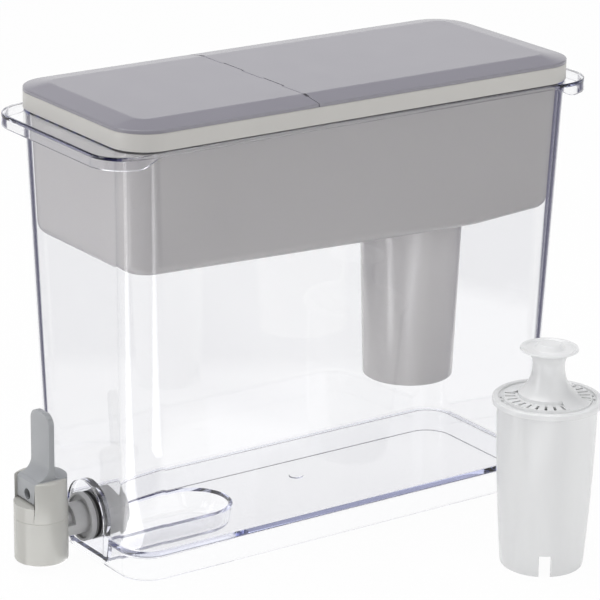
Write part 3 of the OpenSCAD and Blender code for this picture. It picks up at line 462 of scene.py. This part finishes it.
CLEAR = clear_plastic("clear styrene")
# painted light: the filter sleeve below 172 mm is painted 1.33 times lighter, for the light it
# catches
GREY = moulded("warm grey polypropylene", (0.51, 0.495, 0.49), rough=0.2,
               polish_and_painted_light=(0.172, 1.33))
CREAM = moulded("light warm grey polypropylene", (0.585, 0.572, 0.548), rough=0.36)
LID = moulded("cool grey lid plastic", (0.28, 0.272, 0.305), rough=0.24, texture=1400.0,
              bump=0.02)
TAP = moulded("tap body plastic", (0.525, 0.52, 0.49), rough=0.25)
LEVER = moulded("lever plastic", (0.37, 0.38, 0.395), rough=0.36)
NUT = moulded("shank plastic", (0.46, 0.46, 0.466), rough=0.4)
WHITE = moulded("white cartridge plastic", (0.85, 0.855, 0.86), rough=0.24, swing=0.01)
STEM = moulded("acetal", (0.84, 0.84, 0.83), rough=0.35, swing=0.01)
SEAL = moulded("grey silicone", (0.16, 0.158, 0.155), rough=0.6, gloss=0.3)
CUP = moulded("white silicone", (0.72, 0.72, 0.70), rough=0.55, gloss=0.35)
STEEL = drawn_steel("drawn stainless steel")
CARBON = granules("carbon granules")
MESH = woven_mesh("woven screen")


# ---- tank ----

def wall_ring(inset, z, r=TANK_R, gap=(0.0, 0.0), stops=()):
    """Ring of the tank's drafted walls, set in by inset: the foot's outline moved out with
    height z along X and Y by the two drafts. z is one height or one per point."""
    flat = outline(FOOT_X - gap[0] - inset, FOOT_Y - gap[1] - inset, r - inset, stops)
    z = np.broadcast_to(np.asarray(z, float), (len(flat),))
    return np.stack([flat[:, 0] + np.sign(flat[:, 0]) * z * DRAFT_X,
                     flat[:, 1] + np.sign(flat[:, 1]) * z * DRAFT_Y, z], 1)


def level_ring(hx, hy, r, inset, z, stops=()):
    """Ring of a rounded rectangle set in by inset, at height z (one, or one per point)."""
    flat = outline(hx - inset, hy - inset, r - inset, stops)
    z = np.broadcast_to(np.asarray(z, float), (len(flat),))
    return np.stack([flat[:, 0], flat[:, 1], z], 1)


def sump_solid(name, t, front, top):
    """Tombstone outline (a half circle and two straight sides) stacked from the top down to
    the bottom, narrowing by the wall's slope, with a rounded bottom edge. t grows it. The
    half circle has no point in its middle, so that each point faces another."""
    a = np.delete(np.linspace(0, np.pi, 33), 16)
    path = eased([(0, top), (SUMP_SLOPE, SUMP_Z - t), (8, SUMP_Z - t)],
                 (0, 2.0 + t, 0), 6)
    r = (SUMP_R + t - path[:, 0])[:, None]
    arc_x, arc_y = r * np.cos(a)[None], SUMP_Y + r * np.sin(a)[None]
    ends = np.full_like(r, front)
    x = np.concatenate([r, arc_x, -r], 1)
    y = np.concatenate([ends, arc_y, ends], 1)
    z = np.broadcast_to(path[:, 1][:, None], x.shape)
    return stacked(name, np.stack([x, y, z], -1))


def pad_outline(grow=0.0):
    """Round top on two nearly upright sides, down to the ground."""
    a = np.linspace(0, np.pi, 49)
    r = PAD_R + grow
    top = np.stack([r * np.cos(a), PAD_Z + r * np.sin(a)], 1)
    return np.concatenate([top, [[-PAD_FOOT - grow, -grow], [PAD_FOOT + grow, -grow]]])


def tank_shell():
    """The walls, floor and rim are one stack of rings. The inside climbs from the floor to the
    mouth, the rim runs out and turns down to a lip round both ends, which fades out along the
    sides (half a cosine wave over LIP_FADE), and the outside comes back down to the foot and
    up to the floor's underside."""
    fade = np.linspace(LIP_Y - LIP_FADE, RIM_Y - RIM_R - 0.1, 9)
    stops = np.concatenate([-fade[::-1], [0], fade])
    inner = eased([(TANK_WALL + 2, FLOOR_Z), (TANK_WALL, FLOOR_Z), (TANK_WALL, TANK_H),
                   (TANK_WALL - 0.8, TANK_H)], (0, 1.4, 0.4, 0))
    outer = eased([(-0.4, TANK_H - RIM_T), (0, TANK_H - RIM_T), (0, 0), (TANK_WALL, 0),
                   (TANK_WALL, FLOOR_Z - FLOOR_T), (TANK_WALL + 2, FLOOR_Z - FLOOR_T)],
                  (0, 0.3, 0.9, 0.7, 1.2, 0))
    wall_stops = stops * WALL_REACH / fade[-1]
    rings = [wall_ring(i, z, stops=wall_stops) for i, z in inner]
    rim = outline(RIM_X, RIM_Y, RIM_R, stops)
    share = np.clip((np.abs(rim[:, 1]) - LIP_Y + LIP_FADE) / LIP_FADE, 0, 1)
    drop = (LIP_H - RIM_T) * (1 - np.cos(np.pi * share)) / 2
    edge = eased([(2, 0), (0, 0), (0, -RIM_T), (LIP_T, -RIM_T), (LIP_T, -RIM_T + 2)],
                 (0, 0.7, 0.5, 0.5, 0))
    lowered = edge[:, 1] < -RIM_T / 2
    for (i, z), low in zip(edge[:-1], lowered[:-1]):
        rings.append(level_ring(RIM_X, RIM_Y, RIM_R, i, TANK_H + z - low * drop, stops))
    rings.append(level_ring(RIM_X, RIM_Y, RIM_R, LIP_T, TANK_H - RIM_T, stops))
    rings += [wall_ring(i, z, stops=wall_stops) for i, z in outer]
    shell = stacked("tank_shell", rings)
    hole = pushed("hole", circle(0, TAP_Z, HOLE_R, 64), PAD_Y - 3, PAD_Y + PAD_T + 1)
    gate = turned("gate", [(0, FLOOR_Z - 0.3), (GATE_R, FLOOR_Z - 0.3),
                           (GATE_R, FLOOR_Z + GATE_T - 0.2), (GATE_R - 0.3, FLOOR_Z + GATE_T),
                           (0, FLOOR_Z + GATE_T)], (0, 0, 0), n=48)
    return carved(
        shell,
        ("UNION", sump_solid("sump outside", SUMP_T, PAD_Y + 0.4, FLOOR_Z - 0.2)),
        ("UNION", pushed("pad", pad_outline(), PAD_Y + 0.3, PAD_Y + PAD_T)),
        ("UNION", gate),
        ("DIFFERENCE", sump_solid("sump inside", 0, PAD_Y + PAD_T, FLOOR_Z + 0.01)),
        ("DIFFERENCE", pushed("pad recess", pad_outline(0.01), PAD_Y - 15, PAD_Y)),
        ("DIFFERENCE", hole))


# ---- reservoir with its filter sleeve ----

def bottom_z(y):
    """Height of the reservoir's bottom: it falls straight from the front end to the sleeve
    and rises again to the rear end."""
    return np.interp(y, (-RES_END, SLEEVE_Y, RES_END), (RES_FRONT, RES_LOW, RES_REAR))


def reservoir_rings(inset, edge, top, n=8):
    """Rings of the hanging box from its bottom to its top. The lowest ones follow the bottom's
    slope, taken where the draft has carried the outline to, and a quarter arc of radius edge."""
    gap = (RES_GAP_X, RES_GAP_Y)
    foot = outline(FOOT_X - RES_GAP_X, FOOT_Y - RES_GAP_Y, RES_R, RES_STOPS)
    slope = bottom_z(foot[:, 1] * RES_GROWN)
    a = np.linspace(0, np.pi / 2, n + 1)
    rings = [wall_ring(inset + back, slope + inset + up, RES_R, gap, RES_STOPS)
             for back, up in zip(edge * (1 - np.sin(a)), edge * (1 - np.cos(a)))]
    rings.append(wall_ring(inset, top, RES_R, gap, RES_STOPS))
    return rings


def sleeve_r(z):
    """Inner radius of the tapered sleeve at height z: its radius at the seat, less the depth
    below the seat times the draft."""
    return SLEEVE_R - (SEAT_Z - z) * SLEEVE_DRAFT


def reservoir_shell():
    """Box with a soft bottom edge, a flat lip over the tank's mouth and a tapered sleeve below
    it. The box's outside, lip and inside are one stack of rings. A key in the sleeve fits the
    cartridge's notch."""
    lip = eased([(3, 0), (0, 0), (0, RES_LIP_T), (3, RES_LIP_T)], (0, 0.4, 0.5, 0))
    rings = reservoir_rings(0, RES_EDGE, TANK_H)
    rings += [level_ring(RES_LIP_X, RES_LIP_Y, RES_LIP_R, i, TANK_H + z, RES_STOPS)
              for i, z in lip]
    rings += reservoir_rings(RES_WALL, RES_EDGE - RES_WALL, TANK_H + RES_LIP_T)[::-1]
    box = stacked("reservoir_shell", rings)
    collar_z, collar_r, ring_z = SEAT_Z - COLLAR_H, SEAT_R + SLEEVE_WALL, SLEEVE_Z + RING_T
    outside = eased([(0, SLEEVE_Z), (sleeve_r(SLEEVE_Z) + SLEEVE_WALL, SLEEVE_Z),
                     (sleeve_r(collar_z) + SLEEVE_WALL, collar_z), (collar_r, collar_z),
                     (collar_r, SEAT_Z), (0, SEAT_Z)], (0, 0.8, 0.6, 0.8, 0, 0))
    inside = eased([(0, SLEEVE_Z - 1), (RING_R, SLEEVE_Z - 1), (RING_R, ring_z),
                    (sleeve_r(ring_z), ring_z), (sleeve_r(SEAT_Z), SEAT_Z), (SEAT_R, SEAT_Z),
                    (SEAT_R, SEAT_Z + SEAT_H), (0, SEAT_Z + SEAT_H)],
                   (0, 0, 0.5, 0.4, 0.3, 0, 0, 0))
    key = blocks("key", (-KEY_HALF, SLEEVE_Y - sleeve_r(SLEEVE_Z) - 0.8, SLEEVE_Z + KEY_FOOT),
                 (KEY_HALF, SLEEVE_Y - CART_R0 + KEY_IN, SLEEVE_Z + KEY_TOP))
    place = (0, SLEEVE_Y, 0)
    return carved(box, ("UNION", turned("sleeve outside", outside, place)),
                  ("DIFFERENCE", turned("sleeve inside", inside, place)), ("UNION", key))


# ---- lid ----

def lid_base_shell():
    """Deck with a skirt round it, a ledge that rests on the reservoir's lip and a rib inside
    the reservoir's mouth, as one stack of rings, with the fill opening cut out."""
    under = DECK_Z - DECK_T
    skirt = eased([(4, DECK_Z), (0, DECK_Z), (0, SKIRT_Z), (SKIRT_T, SKIRT_Z)],
                  (0, 0.5, 0.35, 0))
    inner = [(SKIRT_T, LEDGE_Z), (LEDGE_IN, LEDGE_Z), (LEDGE_IN, LEDGE_TOP),
             (SKIRT_T, LEDGE_TOP), (SKIRT_T, under)]
    rib = [(0, under), (0, RIB_Z + 0.4), (0.4, RIB_Z), (RIB_T - 0.4, RIB_Z),
           (RIB_T, RIB_Z + 0.4), (RIB_T, under)]
    rings = [level_ring(LID_X, LID_Y, LID_R, i, z) for i, z in list(skirt) + inner]
    rings += [level_ring(RIB_X, RIB_Y, RIB_R, i, z) for i, z in rib]
    front, rear = -(RIB_Y - RIB_T), SEAM_Y - MOUTH_GAP
    mouth = outline(MOUTH_X, (rear - front) / 2, MOUTH_R) + [0, (front + rear) / 2]
    return carved(stacked("lid_base_shell", rings),
                  ("DIFFERENCE", pushed("mouth", mouth, under - 1, DECK_Z + 1, "Z")))


def lid_top(name, inset, drop, floor):
    """Solid under the lid's top: an upright edge, a flat bevel and a flat middle, with the
    two corners of the profile rounded. inset and drop make the hollow below it."""
    edge, top = EDGE_Z - drop, TOP_Z - drop
    low = eased([(0, floor), (0, edge), (BEVEL_X, top)], (0, 0.7, 0), 5)
    crown = eased([(0, edge), (BEVEL_X, top), (2 * BEVEL_X, top)], (0, 14.0, 0), 8)
    rings = []
    for i, z in np.concatenate([low[:-1], crown[1:-1]]):
        back = i / BEVEL_X * BEVEL_Y
        rings.append(level_ring(LID_X - inset - i, LID_Y - inset - back,
                                max(LID_R - inset - back, 4), 0, z))
    return stacked(name, rings)


def half_space(name, side, gap):
    """Block that holds everything beyond the seam on one side of it."""
    near = SEAM_Y + side * gap
    y = sorted((near, near + side * 400))
    return blocks(name, (-90, y[0], 240), (90, y[1], 280))


def lid_panel(name, side, first, bore):
    """One panel of the lid's top with every second hinge knuckle, counted from first."""
    hollow = carved(lid_top("hollow", PANEL_T, SHELL_T, DECK_Z - 1),
                    ("INTERSECT", half_space("room", side, SEAM_WALL)))
    pitch = 2 * HINGE_HALF / KNUCKLES
    middle = -HINGE_HALF + (np.arange(first, KNUCKLES, 2) + 0.5) * pitch
    half = pitch / 2 - KNUCKLE_GAP
    steps = [("INTERSECT", half_space("side", side, SEAM_GAP)),
             ("DIFFERENCE", blocks("relief", (-RELIEF_HALF, SEAM_Y - 1, DECK_Z - 1),
                                   (RELIEF_HALF, SEAM_Y + 1, TOP_Z + 2))),
             ("DIFFERENCE", hollow)]
    arms = sorted((SEAM_Y, SEAM_Y + side * ARM))
    steps.append(("UNION", blocks("arms", [(x - half, arms[0], HINGE_Z - KNUCKLE_R + 0.01)
                                           for x in middle],
                                  [(x + half, arms[1], TOP_Z - 0.01) for x in middle])))
    barrel = circle(SEAM_Y, HINGE_Z, (KNUCKLE_R, KNUCKLE_R - 0.005), 24)
    steps += [("UNION", pushed("barrel", barrel, x - half + 0.01, x + half - 0.01, "X"))
              for x in middle]
    steps.append(("DIFFERENCE", pushed("bore", circle(SEAM_Y, HINGE_Z, bore, 24),
                                       -HINGE_HALF - 2, HINGE_HALF + 2, "X")))
    return carved(lid_top(name, 0, 0, DECK_Z), *steps)


# ---- tap ----

def tap_barrel_body():
    """Turned barrel with a chamber, an outlet bore and a round inlet on its rear."""
    profile = eased([(OUTLET_R, OUTLET_Z), (BARREL_R, OUTLET_Z), (BARREL_R, JOINT_Z),
                     (CHAMBER_R, JOINT_Z), (CHAMBER_R, CHAMBER_Z), (OUTLET_R, CHAMBER_Z)],
                    (0.4, 0.9, 0.25, 0.2, 0.6, 0.5), 5)
    inlet = pushed("inlet", circle(0, TAP_Z, INLET_R, 48), TAP_Y, TAP_Y + BARREL_R + 1)
    return carved(turned("tap_barrel_body", profile, (0, TAP_Y, 0)), ("DIFFERENCE", inlet))


def tap_bonnet_body():
    """Turned bonnet with a spigot, the spring's pocket, the way through for the stem, a slot
    for the lever and the two sockets of the lever's trunnions."""
    spigot, foot, roof = CHAMBER_R - SPIGOT_GAP, JOINT_Z - SPIGOT_H, SLOT_Z - POCKET_ROOF
    profile = eased([(STEM_R, roof), (POCKET_R, roof), (POCKET_R, foot), (spigot, foot),
                     (spigot, JOINT_Z), (BARREL_R, JOINT_Z), (BARREL_R, BONNET_Z),
                     (STEM_R, BONNET_Z)], (0, 0, 0.2, 0.2, 0, 0.25, 1.1, 0), 5)
    slot = blocks("slot", (-SLOT_W / 2, TAP_Y - SLOT_REACH, SLOT_Z),
                  (SLOT_W / 2, TAP_Y + SLOT_REACH, SLOT_TOP))
    sockets = pushed("sockets", circle(TAP_Y + SOCKET_Y, SOCKET_Z, SOCKET_R, 32),
                     -SLOT_W / 2 - SOCKET_DEPTH, SLOT_W / 2 + SOCKET_DEPTH, "X")
    return carved(turned("tap_bonnet_body", profile, (0, TAP_Y, 0)), ("DIFFERENCE", slot),
                  ("DIFFERENCE", sockets))


# ---- filter cartridges ----

def cart_r(z):
    """Outer radius of the cartridge at height z: the top's radius, less its difference to the
    foot's times the share of the height left above z to the power 1.7."""
    return CART_R1 - (CART_R1 - CART_R0) * (1 - z / CART_H) ** 1.7


def housing_body(name, centre, turn):
    """Turned cup with a hollow foot and two opposite notches in it."""
    z = np.linspace(1.5, CART_H, 33)
    outside = np.stack([cart_r(z), z], 1)
    z_in = np.linspace(CART_H, CART_FLOOR + 0.5, 25)
    inside = np.stack([cart_r(z_in) - CART_WALL, z_in], 1)
    foot, under = CART_R0 - CART_WALL, CART_FLOOR - CART_WALL
    profile = np.concatenate([
        [[0, under], [foot - 1, under], [foot, under - 1], [foot, 0.3], [foot + 0.3, 0],
         [CART_R0 - 0.7, 0], [CART_R0 - 0.2, 0.4]],
        outside, inside, [[cart_r(CART_FLOOR) - CART_WALL - 0.5, CART_FLOOR], [0, CART_FLOOR]]])
    notch = blocks("notch", (-NOTCH_HALF, -30, -1), (NOTCH_HALF, 30, NOTCH_H), [turn], centre)
    return carved(turned(name, profile, centre), ("DIFFERENCE", notch))


def cap_body(name, centre, turn):
    """Turned cap: a flange with a groove, a bell that sweeps up to a neck (a quarter ellipse),
    and a dished knob that flares out from the neck (another one). Two opposite sectors of the
    bell are cut down to a flat step, which carries radial slots. A small vent lies in the
    groove between each two slots."""
    bell_z, skirt_z = CART_H + FLANGE_T, CART_H - CAP_DEPTH
    groove_z = bell_z - GROOVE_D
    knob_z = bell_z + BELL_H + NECK_H
    boss_z = knob_z + FLARE_H + KNOB_T
    flange = CART_R1 + FLANGE_OUT
    a = np.linspace(0, np.pi / 2, 25)
    bell = np.stack([BELL_R - (BELL_R - NECK_R) * np.sin(a), bell_z + BELL_H * (1 - np.cos(a))], 1)
    wall = bell[::-1] - [CART_WALL, 0]
    skirt = eased([(CAP_R, skirt_z), (CAP_R, CART_H), (flange, CART_H), (flange, bell_z),
                   (BELL_R + GROOVE_OUT, bell_z), (BELL_R + GROOVE_IN, groove_z),
                   (BELL_R, groove_z)], (0, 0, 0.5, 0.9, 0.3, 0.3, 0.3), 4)
    b = np.linspace(0.1, np.pi / 2, 16)
    flare = np.stack([KNOB_R - (KNOB_R - NECK_R) * np.cos(b), knob_z + FLARE_H * np.sin(b)], 1)
    knob = eased([(KNOB_R - 1, boss_z - KNOB_T), (KNOB_R, boss_z - KNOB_T), (KNOB_R, boss_z),
                  (KNOB_R - 1.4, boss_z), (KNOB_R - 2.8, boss_z - 0.9), (BOSS_R, boss_z - 0.7),
                  (BOSS_TOP, boss_z + BOSS_H), (0, boss_z + BOSS_H)],
                 (0, 0.4, 0.5, 0.4, 0.8, 1.2, 1.2, 0), 5)
    profile = np.concatenate([skirt, bell, flare[:-1], knob[1:], [[0, knob_z - NECK_H]], wall,
                              [[BELL_R - CART_WALL, skirt_z]]])
    vent_z = bell_z + STEP_UP
    step_z = vent_z - STEP_T
    up = bell_z + BELL_H * (1 - math.sqrt(1 - ((BELL_R - VENT_R) / (BELL_R - NECK_R)) ** 2))
    sides = np.array([VENT_TURN, VENT_TURN + 180]) + turn
    away = [(VENT_R, vent_z), (BELL_R + 0.6, vent_z), (BELL_R + 0.6, knob_z), (VENT_R, knob_z)]
    stair = [(VENT_R - STEP_T, step_z), (BELL_R - 0.3, step_z), (BELL_R - 0.3, vent_z + 0.02),
             (VENT_R - 0.03, vent_z + 0.02), (VENT_R - 0.03, up + 0.1),
             (VENT_R - STEP_T, up + 0.1)]
    steps = []
    for side in sides:
        arc = np.array([-VENT_HALF, VENT_HALF]) + side
        steps += [("DIFFERENCE", turned("sector", away, centre, n=48, arc=arc)),
                  ("UNION", turned("step", stair, centre, n=50, arc=arc + [-2, 2]))]
    pitch = 2 * VENT_HALF / (VENTS - 0.3)
    spots = (np.arange(VENTS) - (VENTS - 1) / 2) * pitch
    turns = (sides[:, None] + spots).ravel()
    between = (sides[:, None] + spots[1:] - pitch / 2).ravel()
    slots = blocks("slots", [(VENT_R + 1.4, -VENT_W / 2, step_z - 1)] * len(turns),
                   [(BELL_R - 0.8, VENT_W / 2, vent_z + 1)] * len(turns), turns, centre)
    rows = blocks("small vents", [(BELL_R + 0.6, -1.1, bell_z - 3.2)] * len(between),
                  [(BELL_R + 1.9, 1.1, bell_z - 0.6)] * len(between), between, centre)
    return carved(turned(name, profile, centre), *steps, ("DIFFERENCE", slots),
                  ("DIFFERENCE", rows))


# ---- the pieces in their places ----

dressed(tank_shell(), CLEAR, "tank_body",
        ("tank", "tank_floor", "tank_rim"), smooth=28)
dressed(reservoir_shell(), GREY, "reservoir_body", ("reservoir",), smooth=28)
dressed(lid_base_shell(), CREAM, "lid_body", ("lid_base",), smooth=28)
dressed(lid_panel("rear_panel_shell", 1, 0, ROD_R), LID, "lid_body",
        ("rear_panel",), smooth=20)
dressed(lid_panel("fill_flap_shell", -1, 1, ROD_R + 0.05), LID, "flap_body",
        ("fill_flap",), smooth=20)
dressed(tap_barrel_body(), TAP, "tank_body", ("tap_barrel",))
dressed(tap_bonnet_body(), TAP, "tank_body", ("tap_bonnet",), bevel=0.35)
dressed(node_copy("tap_lever", "tap_lever_body"), LEVER, "lever_body",
        ("tap_lever",), bevel=0.6, segments=3)
dressed(node_copy("tap_shank", "tap_shank_body"), NUT, "tank_body",
        ("tap_shank",), bevel=0.25)
dressed(node_copy("shank_nut", "shank_nut_body"), NUT, "tank_body",
        ("shank_nut",), smooth=20, bevel=0.4)
coil = dressed(node_copy("return_spring", "coil_spring"), STEEL, "stem_body",
               ("return_spring",))
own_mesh(coil)
for kind, body, centre, turn in (
        ("filter", "filter_body", (0, SLEEVE_Y, SEAT_Z - CART_H), 0.0),
        ("spare", "spare_body", (148.5, 67.5, 0), 55.5)):
    dressed(housing_body(kind + "_housing_body", centre, turn), WHITE, body,
            (kind + "_housing",))
    dressed(cap_body(kind + "_cap_body", centre, turn), WHITE, body,
            (kind + "_cap",))
for node, material in (
        ("hinge_rod", STEEL), ("stem_pin", STEEL),
        ("bonnet_seal", SEAL), ("outer_washer", SEAL), ("inner_washer", SEAL),
        ("valve_stem", STEM), ("seat_cup", CUP), ("filter_media", CARBON),
        ("spare_media", CARBON), ("filter_screens", MESH), ("spare_screens", MESH)):
    nodes[node].data.materials.clear()
    nodes[node].data.materials.append(material)


# ---- floor, light and camera, in metres ----

ROOM_DARK, ROOM_FILL, WHITE_LIGHT = (0.03, 0.027, 0.09), 0.42, (1, 1, 1)
BEHIND, ACROSS = (-0.824, 0.566, 0.0), (0.566, 0.824, 0.0)
RUNWAY_HALF, RUNWAY_FLARE, RUNWAY_FRONT, RUNWAY_SOFT = 0.17, 0.2, -0.18, 0.04
CAMERA_DARK, CAMERA_SOFT, FLOOR_HALF, FLOOR_GLOW = 1.2, 0.05, 6.0, 0.97
BACKDROP_SIDE, BACKDROP_TOP, ROOM_FRONT = (0.45, 0.8), (0.33, 0.42), (-0.3, -0.15)
CAMERA_TURN, CAMERA_UP, CAMERA_ROLL, CAMERA_FAR = 55.51, 18.5, 0.61, 1.78615
AIM_Z, AIM_LEFT, AIM_DOWN = 0.130, 0.01294, 0.00344
LENS, SENSOR, SHIFT = 184.55, 36.0, (0.04165, 0.00058)
BOUNCES = 24


def straight_through(tree, path):
    """One for a ray that clear walls have bent but never mirrored."""
    return sums(tree, "MULTIPLY", path["Is Transmission Ray"],
                sums(tree, "LESS_THAN", path["Glossy Depth"], 0.5))


def white_floor():
    """Matt white ground that the camera sees white but for a soft share of its own light and
    shadow. The clear walls find a lit white runway under and behind the object and dark ground
    around it, but for what is seen straight through them from behind. Gloss finds white ground
    everywhere except in front."""
    s = FLOOR_HALF / MM
    floor = mesh_object("floor", [(-s, -s, 0), (s, -s, 0), (s, s, 0), (-s, s, 0)], [(0, 1, 2, 3)])
    material, tree, shader = new_material("white floor")
    shader.inputs["Base Color"].default_value = (0.9, 0.9, 0.9, 1)
    shader.inputs["Roughness"].default_value = 0.9
    place = spot(tree)
    path = tree.nodes.new("ShaderNodeLightPath").outputs
    beside = sums(tree, "ABSOLUTE", dot(tree, place, ACROSS), 0.0)
    depth = dot(tree, place, BEHIND)
    widened = sums(tree, "SUBTRACT", beside, sums(tree, "MULTIPLY", depth, RUNWAY_FLARE))
    lane = spread(tree, widened, 1.0, 0.0, RUNWAY_HALF, RUNWAY_HALF + 0.05)
    near = spread(tree, depth, 0.0, 1.0, RUNWAY_FRONT - RUNWAY_SOFT, RUNWAY_FRONT)
    lit = sums(tree, "MAXIMUM", sums(tree, "MULTIPLY", lane, near), path["Is Camera Ray"])
    ahead = sums(tree, "SUBTRACT", sums(tree, "MULTIPLY", depth, -CAMERA_DARK), beside)
    around = sums(tree, "MULTIPLY", spread(tree, ahead, 1.0, 0.0, -CAMERA_SOFT, CAMERA_SOFT),
                  path["Is Reflection Ray"])
    lit = sums(tree, "MAXIMUM", lit, around)
    front = sums(tree, "SUBTRACT", 1.0, near)
    lit = sums(tree, "MAXIMUM", lit, sums(tree, "MULTIPLY", front, straight_through(tree, path)))
    glow = tree.nodes.new("ShaderNodeEmission")
    tree.links.new(tinted(tree, lit, ROOM_DARK, WHITE_LIGHT), glow.inputs["Color"])
    seen = sums(tree, "MAXIMUM", path["Is Glossy Ray"], path["Is Transmission Ray"])
    seen = sums(tree, "MULTIPLY", seen, sums(tree, "LESS_THAN", path["Diffuse Depth"], 0.5))
    seen = sums(tree, "MAXIMUM", seen, path["Is Camera Ray"])
    dark = sums(tree, "SUBTRACT", 1.0, lit)
    share = sums(tree, "MULTIPLY", seen, sums(tree, "MAXIMUM", dark, FLOOR_GLOW))
    mix = tree.nodes.new("ShaderNodeMixShader")
    tree.links.new(share, mix.inputs[0])
    tree.links.new(shader.outputs[0], mix.inputs[1])
    tree.links.new(glow.outputs[0], mix.inputs[2])
    tree.links.new(mix.outputs[0], tree.nodes["Material Output"].inputs["Surface"])
    floor.data.materials.append(material)


def studio_world():
    """White for the camera and an even soft light on matt surfaces. What gloss and clear
    plastic show is a white backdrop, low behind the object, in an otherwise dark room. The
    room's front is white too for rays that come straight through from behind."""
    world = bpy.data.worlds.new("studio")
    bpy.context.scene.world = world
    world.use_nodes = True
    tree = world.node_tree
    place = tree.nodes.new("ShaderNodeTexCoord").outputs["Generated"]
    path = tree.nodes.new("ShaderNodeLightPath").outputs
    depth = dot(tree, place, BEHIND)
    back = spread(tree, depth, 0.0, 1.0, *BACKDROP_SIDE)
    low = spread(tree, dot(tree, place, UP), 1.0, 0.0, *BACKDROP_TOP)
    white = sums(tree, "MAXIMUM", sums(tree, "MULTIPLY", back, low), path["Is Camera Ray"])
    front = spread(tree, depth, 1.0, 0.0, *ROOM_FRONT)
    white = sums(tree, "MAXIMUM", white,
                 sums(tree, "MULTIPLY", front, straight_through(tree, path)))
    room = tinted(tree, white, ROOM_DARK, WHITE_LIGHT)
    level = tree.nodes.new("ShaderNodeMix")
    level.data_type = "RGBA"
    level.inputs[7].default_value = (ROOM_FILL, ROOM_FILL, ROOM_FILL, 1)
    tree.links.new(sums(tree, "GREATER_THAN", path["Diffuse Depth"], 0.5), level.inputs[0])
    tree.links.new(room, level.inputs[6])
    sky = tree.nodes["Background"]
    sky.inputs["Strength"].default_value = 1.0
    tree.links.new(level.outputs[2], sky.inputs["Color"])


def lamp(name, place, size, power):
    """Rectangular lamp that the camera doesn't see."""
    light = bpy.data.lights.new(name, "AREA")
    light.shape, light.size, light.size_y, light.energy = "RECTANGLE", *size, power
    box = linked(name, light)
    box.location, box.visible_camera = place, False
    return box


def softbox(name, place, target, size, power):
    """Lamp that faces a target."""
    box = lamp(name, place, size, power)
    box.rotation_euler = (Vector(target) - Vector(place)).to_track_quat("-Z", "Y").to_euler()


def light_table(name, place, turn, size, power):
    """Lamp that lies on the floor and faces up, its long side turned from -Y towards +X by an
    angle in degrees. Upright gloss shows it as an upright highlight, matt surfaces don't see
    it."""
    box = lamp(name, place, size, power)
    box.rotation_euler = (math.pi, 0, math.radians(turn))
    box.visible_diffuse = False


def main_camera():
    """Long lens from CAMERA_TURN degrees round from the tap's end and a little up, slightly
    rolled, aimed just beside the object's middle."""
    az, el, roll = (math.radians(a) for a in (CAMERA_TURN, CAMERA_UP, CAMERA_ROLL))
    back = Vector((math.sin(az) * math.cos(el), -math.cos(az) * math.cos(el), math.sin(el)))
    right = Vector((math.cos(az), math.sin(az), 0))
    up = back.cross(right)
    right, up = (math.cos(roll) * right + math.sin(roll) * up,
                 math.cos(roll) * up - math.sin(roll) * right)
    aim = Vector((0, 0, AIM_Z)) - AIM_LEFT * right - AIM_DOWN * up
    lens = bpy.data.cameras.new("main camera")
    lens.lens, lens.sensor_width = LENS, SENSOR
    lens.shift_x, lens.shift_y = SHIFT
    lens.clip_end = 20.0
    camera = linked("main camera", lens)
    turn = Matrix((right, up, back)).transposed().to_4x4()
    camera.matrix_world = Matrix.Translation(aim + CAMERA_FAR * back) @ turn
    bpy.context.scene.camera = camera


white_floor()
studio_world()
softbox("strip box", (-0.24, -1.68, 0.75), (0, 0, 0.15), (0.42, 1.5), 8.5)
softbox("side box", (1.75, 0.47, 0.85), (0, 0, 0.15), (1.5, 1.6), 9.5)
light_table("strip table", (0.008, -0.50, 0.004), -7, (0.08, 0.68), 0.5)
light_table("side table", (0.50, -0.075, 0.004), 97, (0.10, 0.6), 0.4)
softbox("top box", (-0.3, -0.2, 1.8), (0, 0, 0.25), (1.3, 1.3), 16)
main_camera()

scene = bpy.context.scene
scene.view_settings.view_transform = "Standard"
scene.cycles.max_bounces = BOUNCES
scene.cycles.transmission_bounces = BOUNCES
scene.cycles.transparent_max_bounces = BOUNCES
scene.cycles.glossy_bounces = BOUNCES
scene.cycles.diffuse_bounces = 4
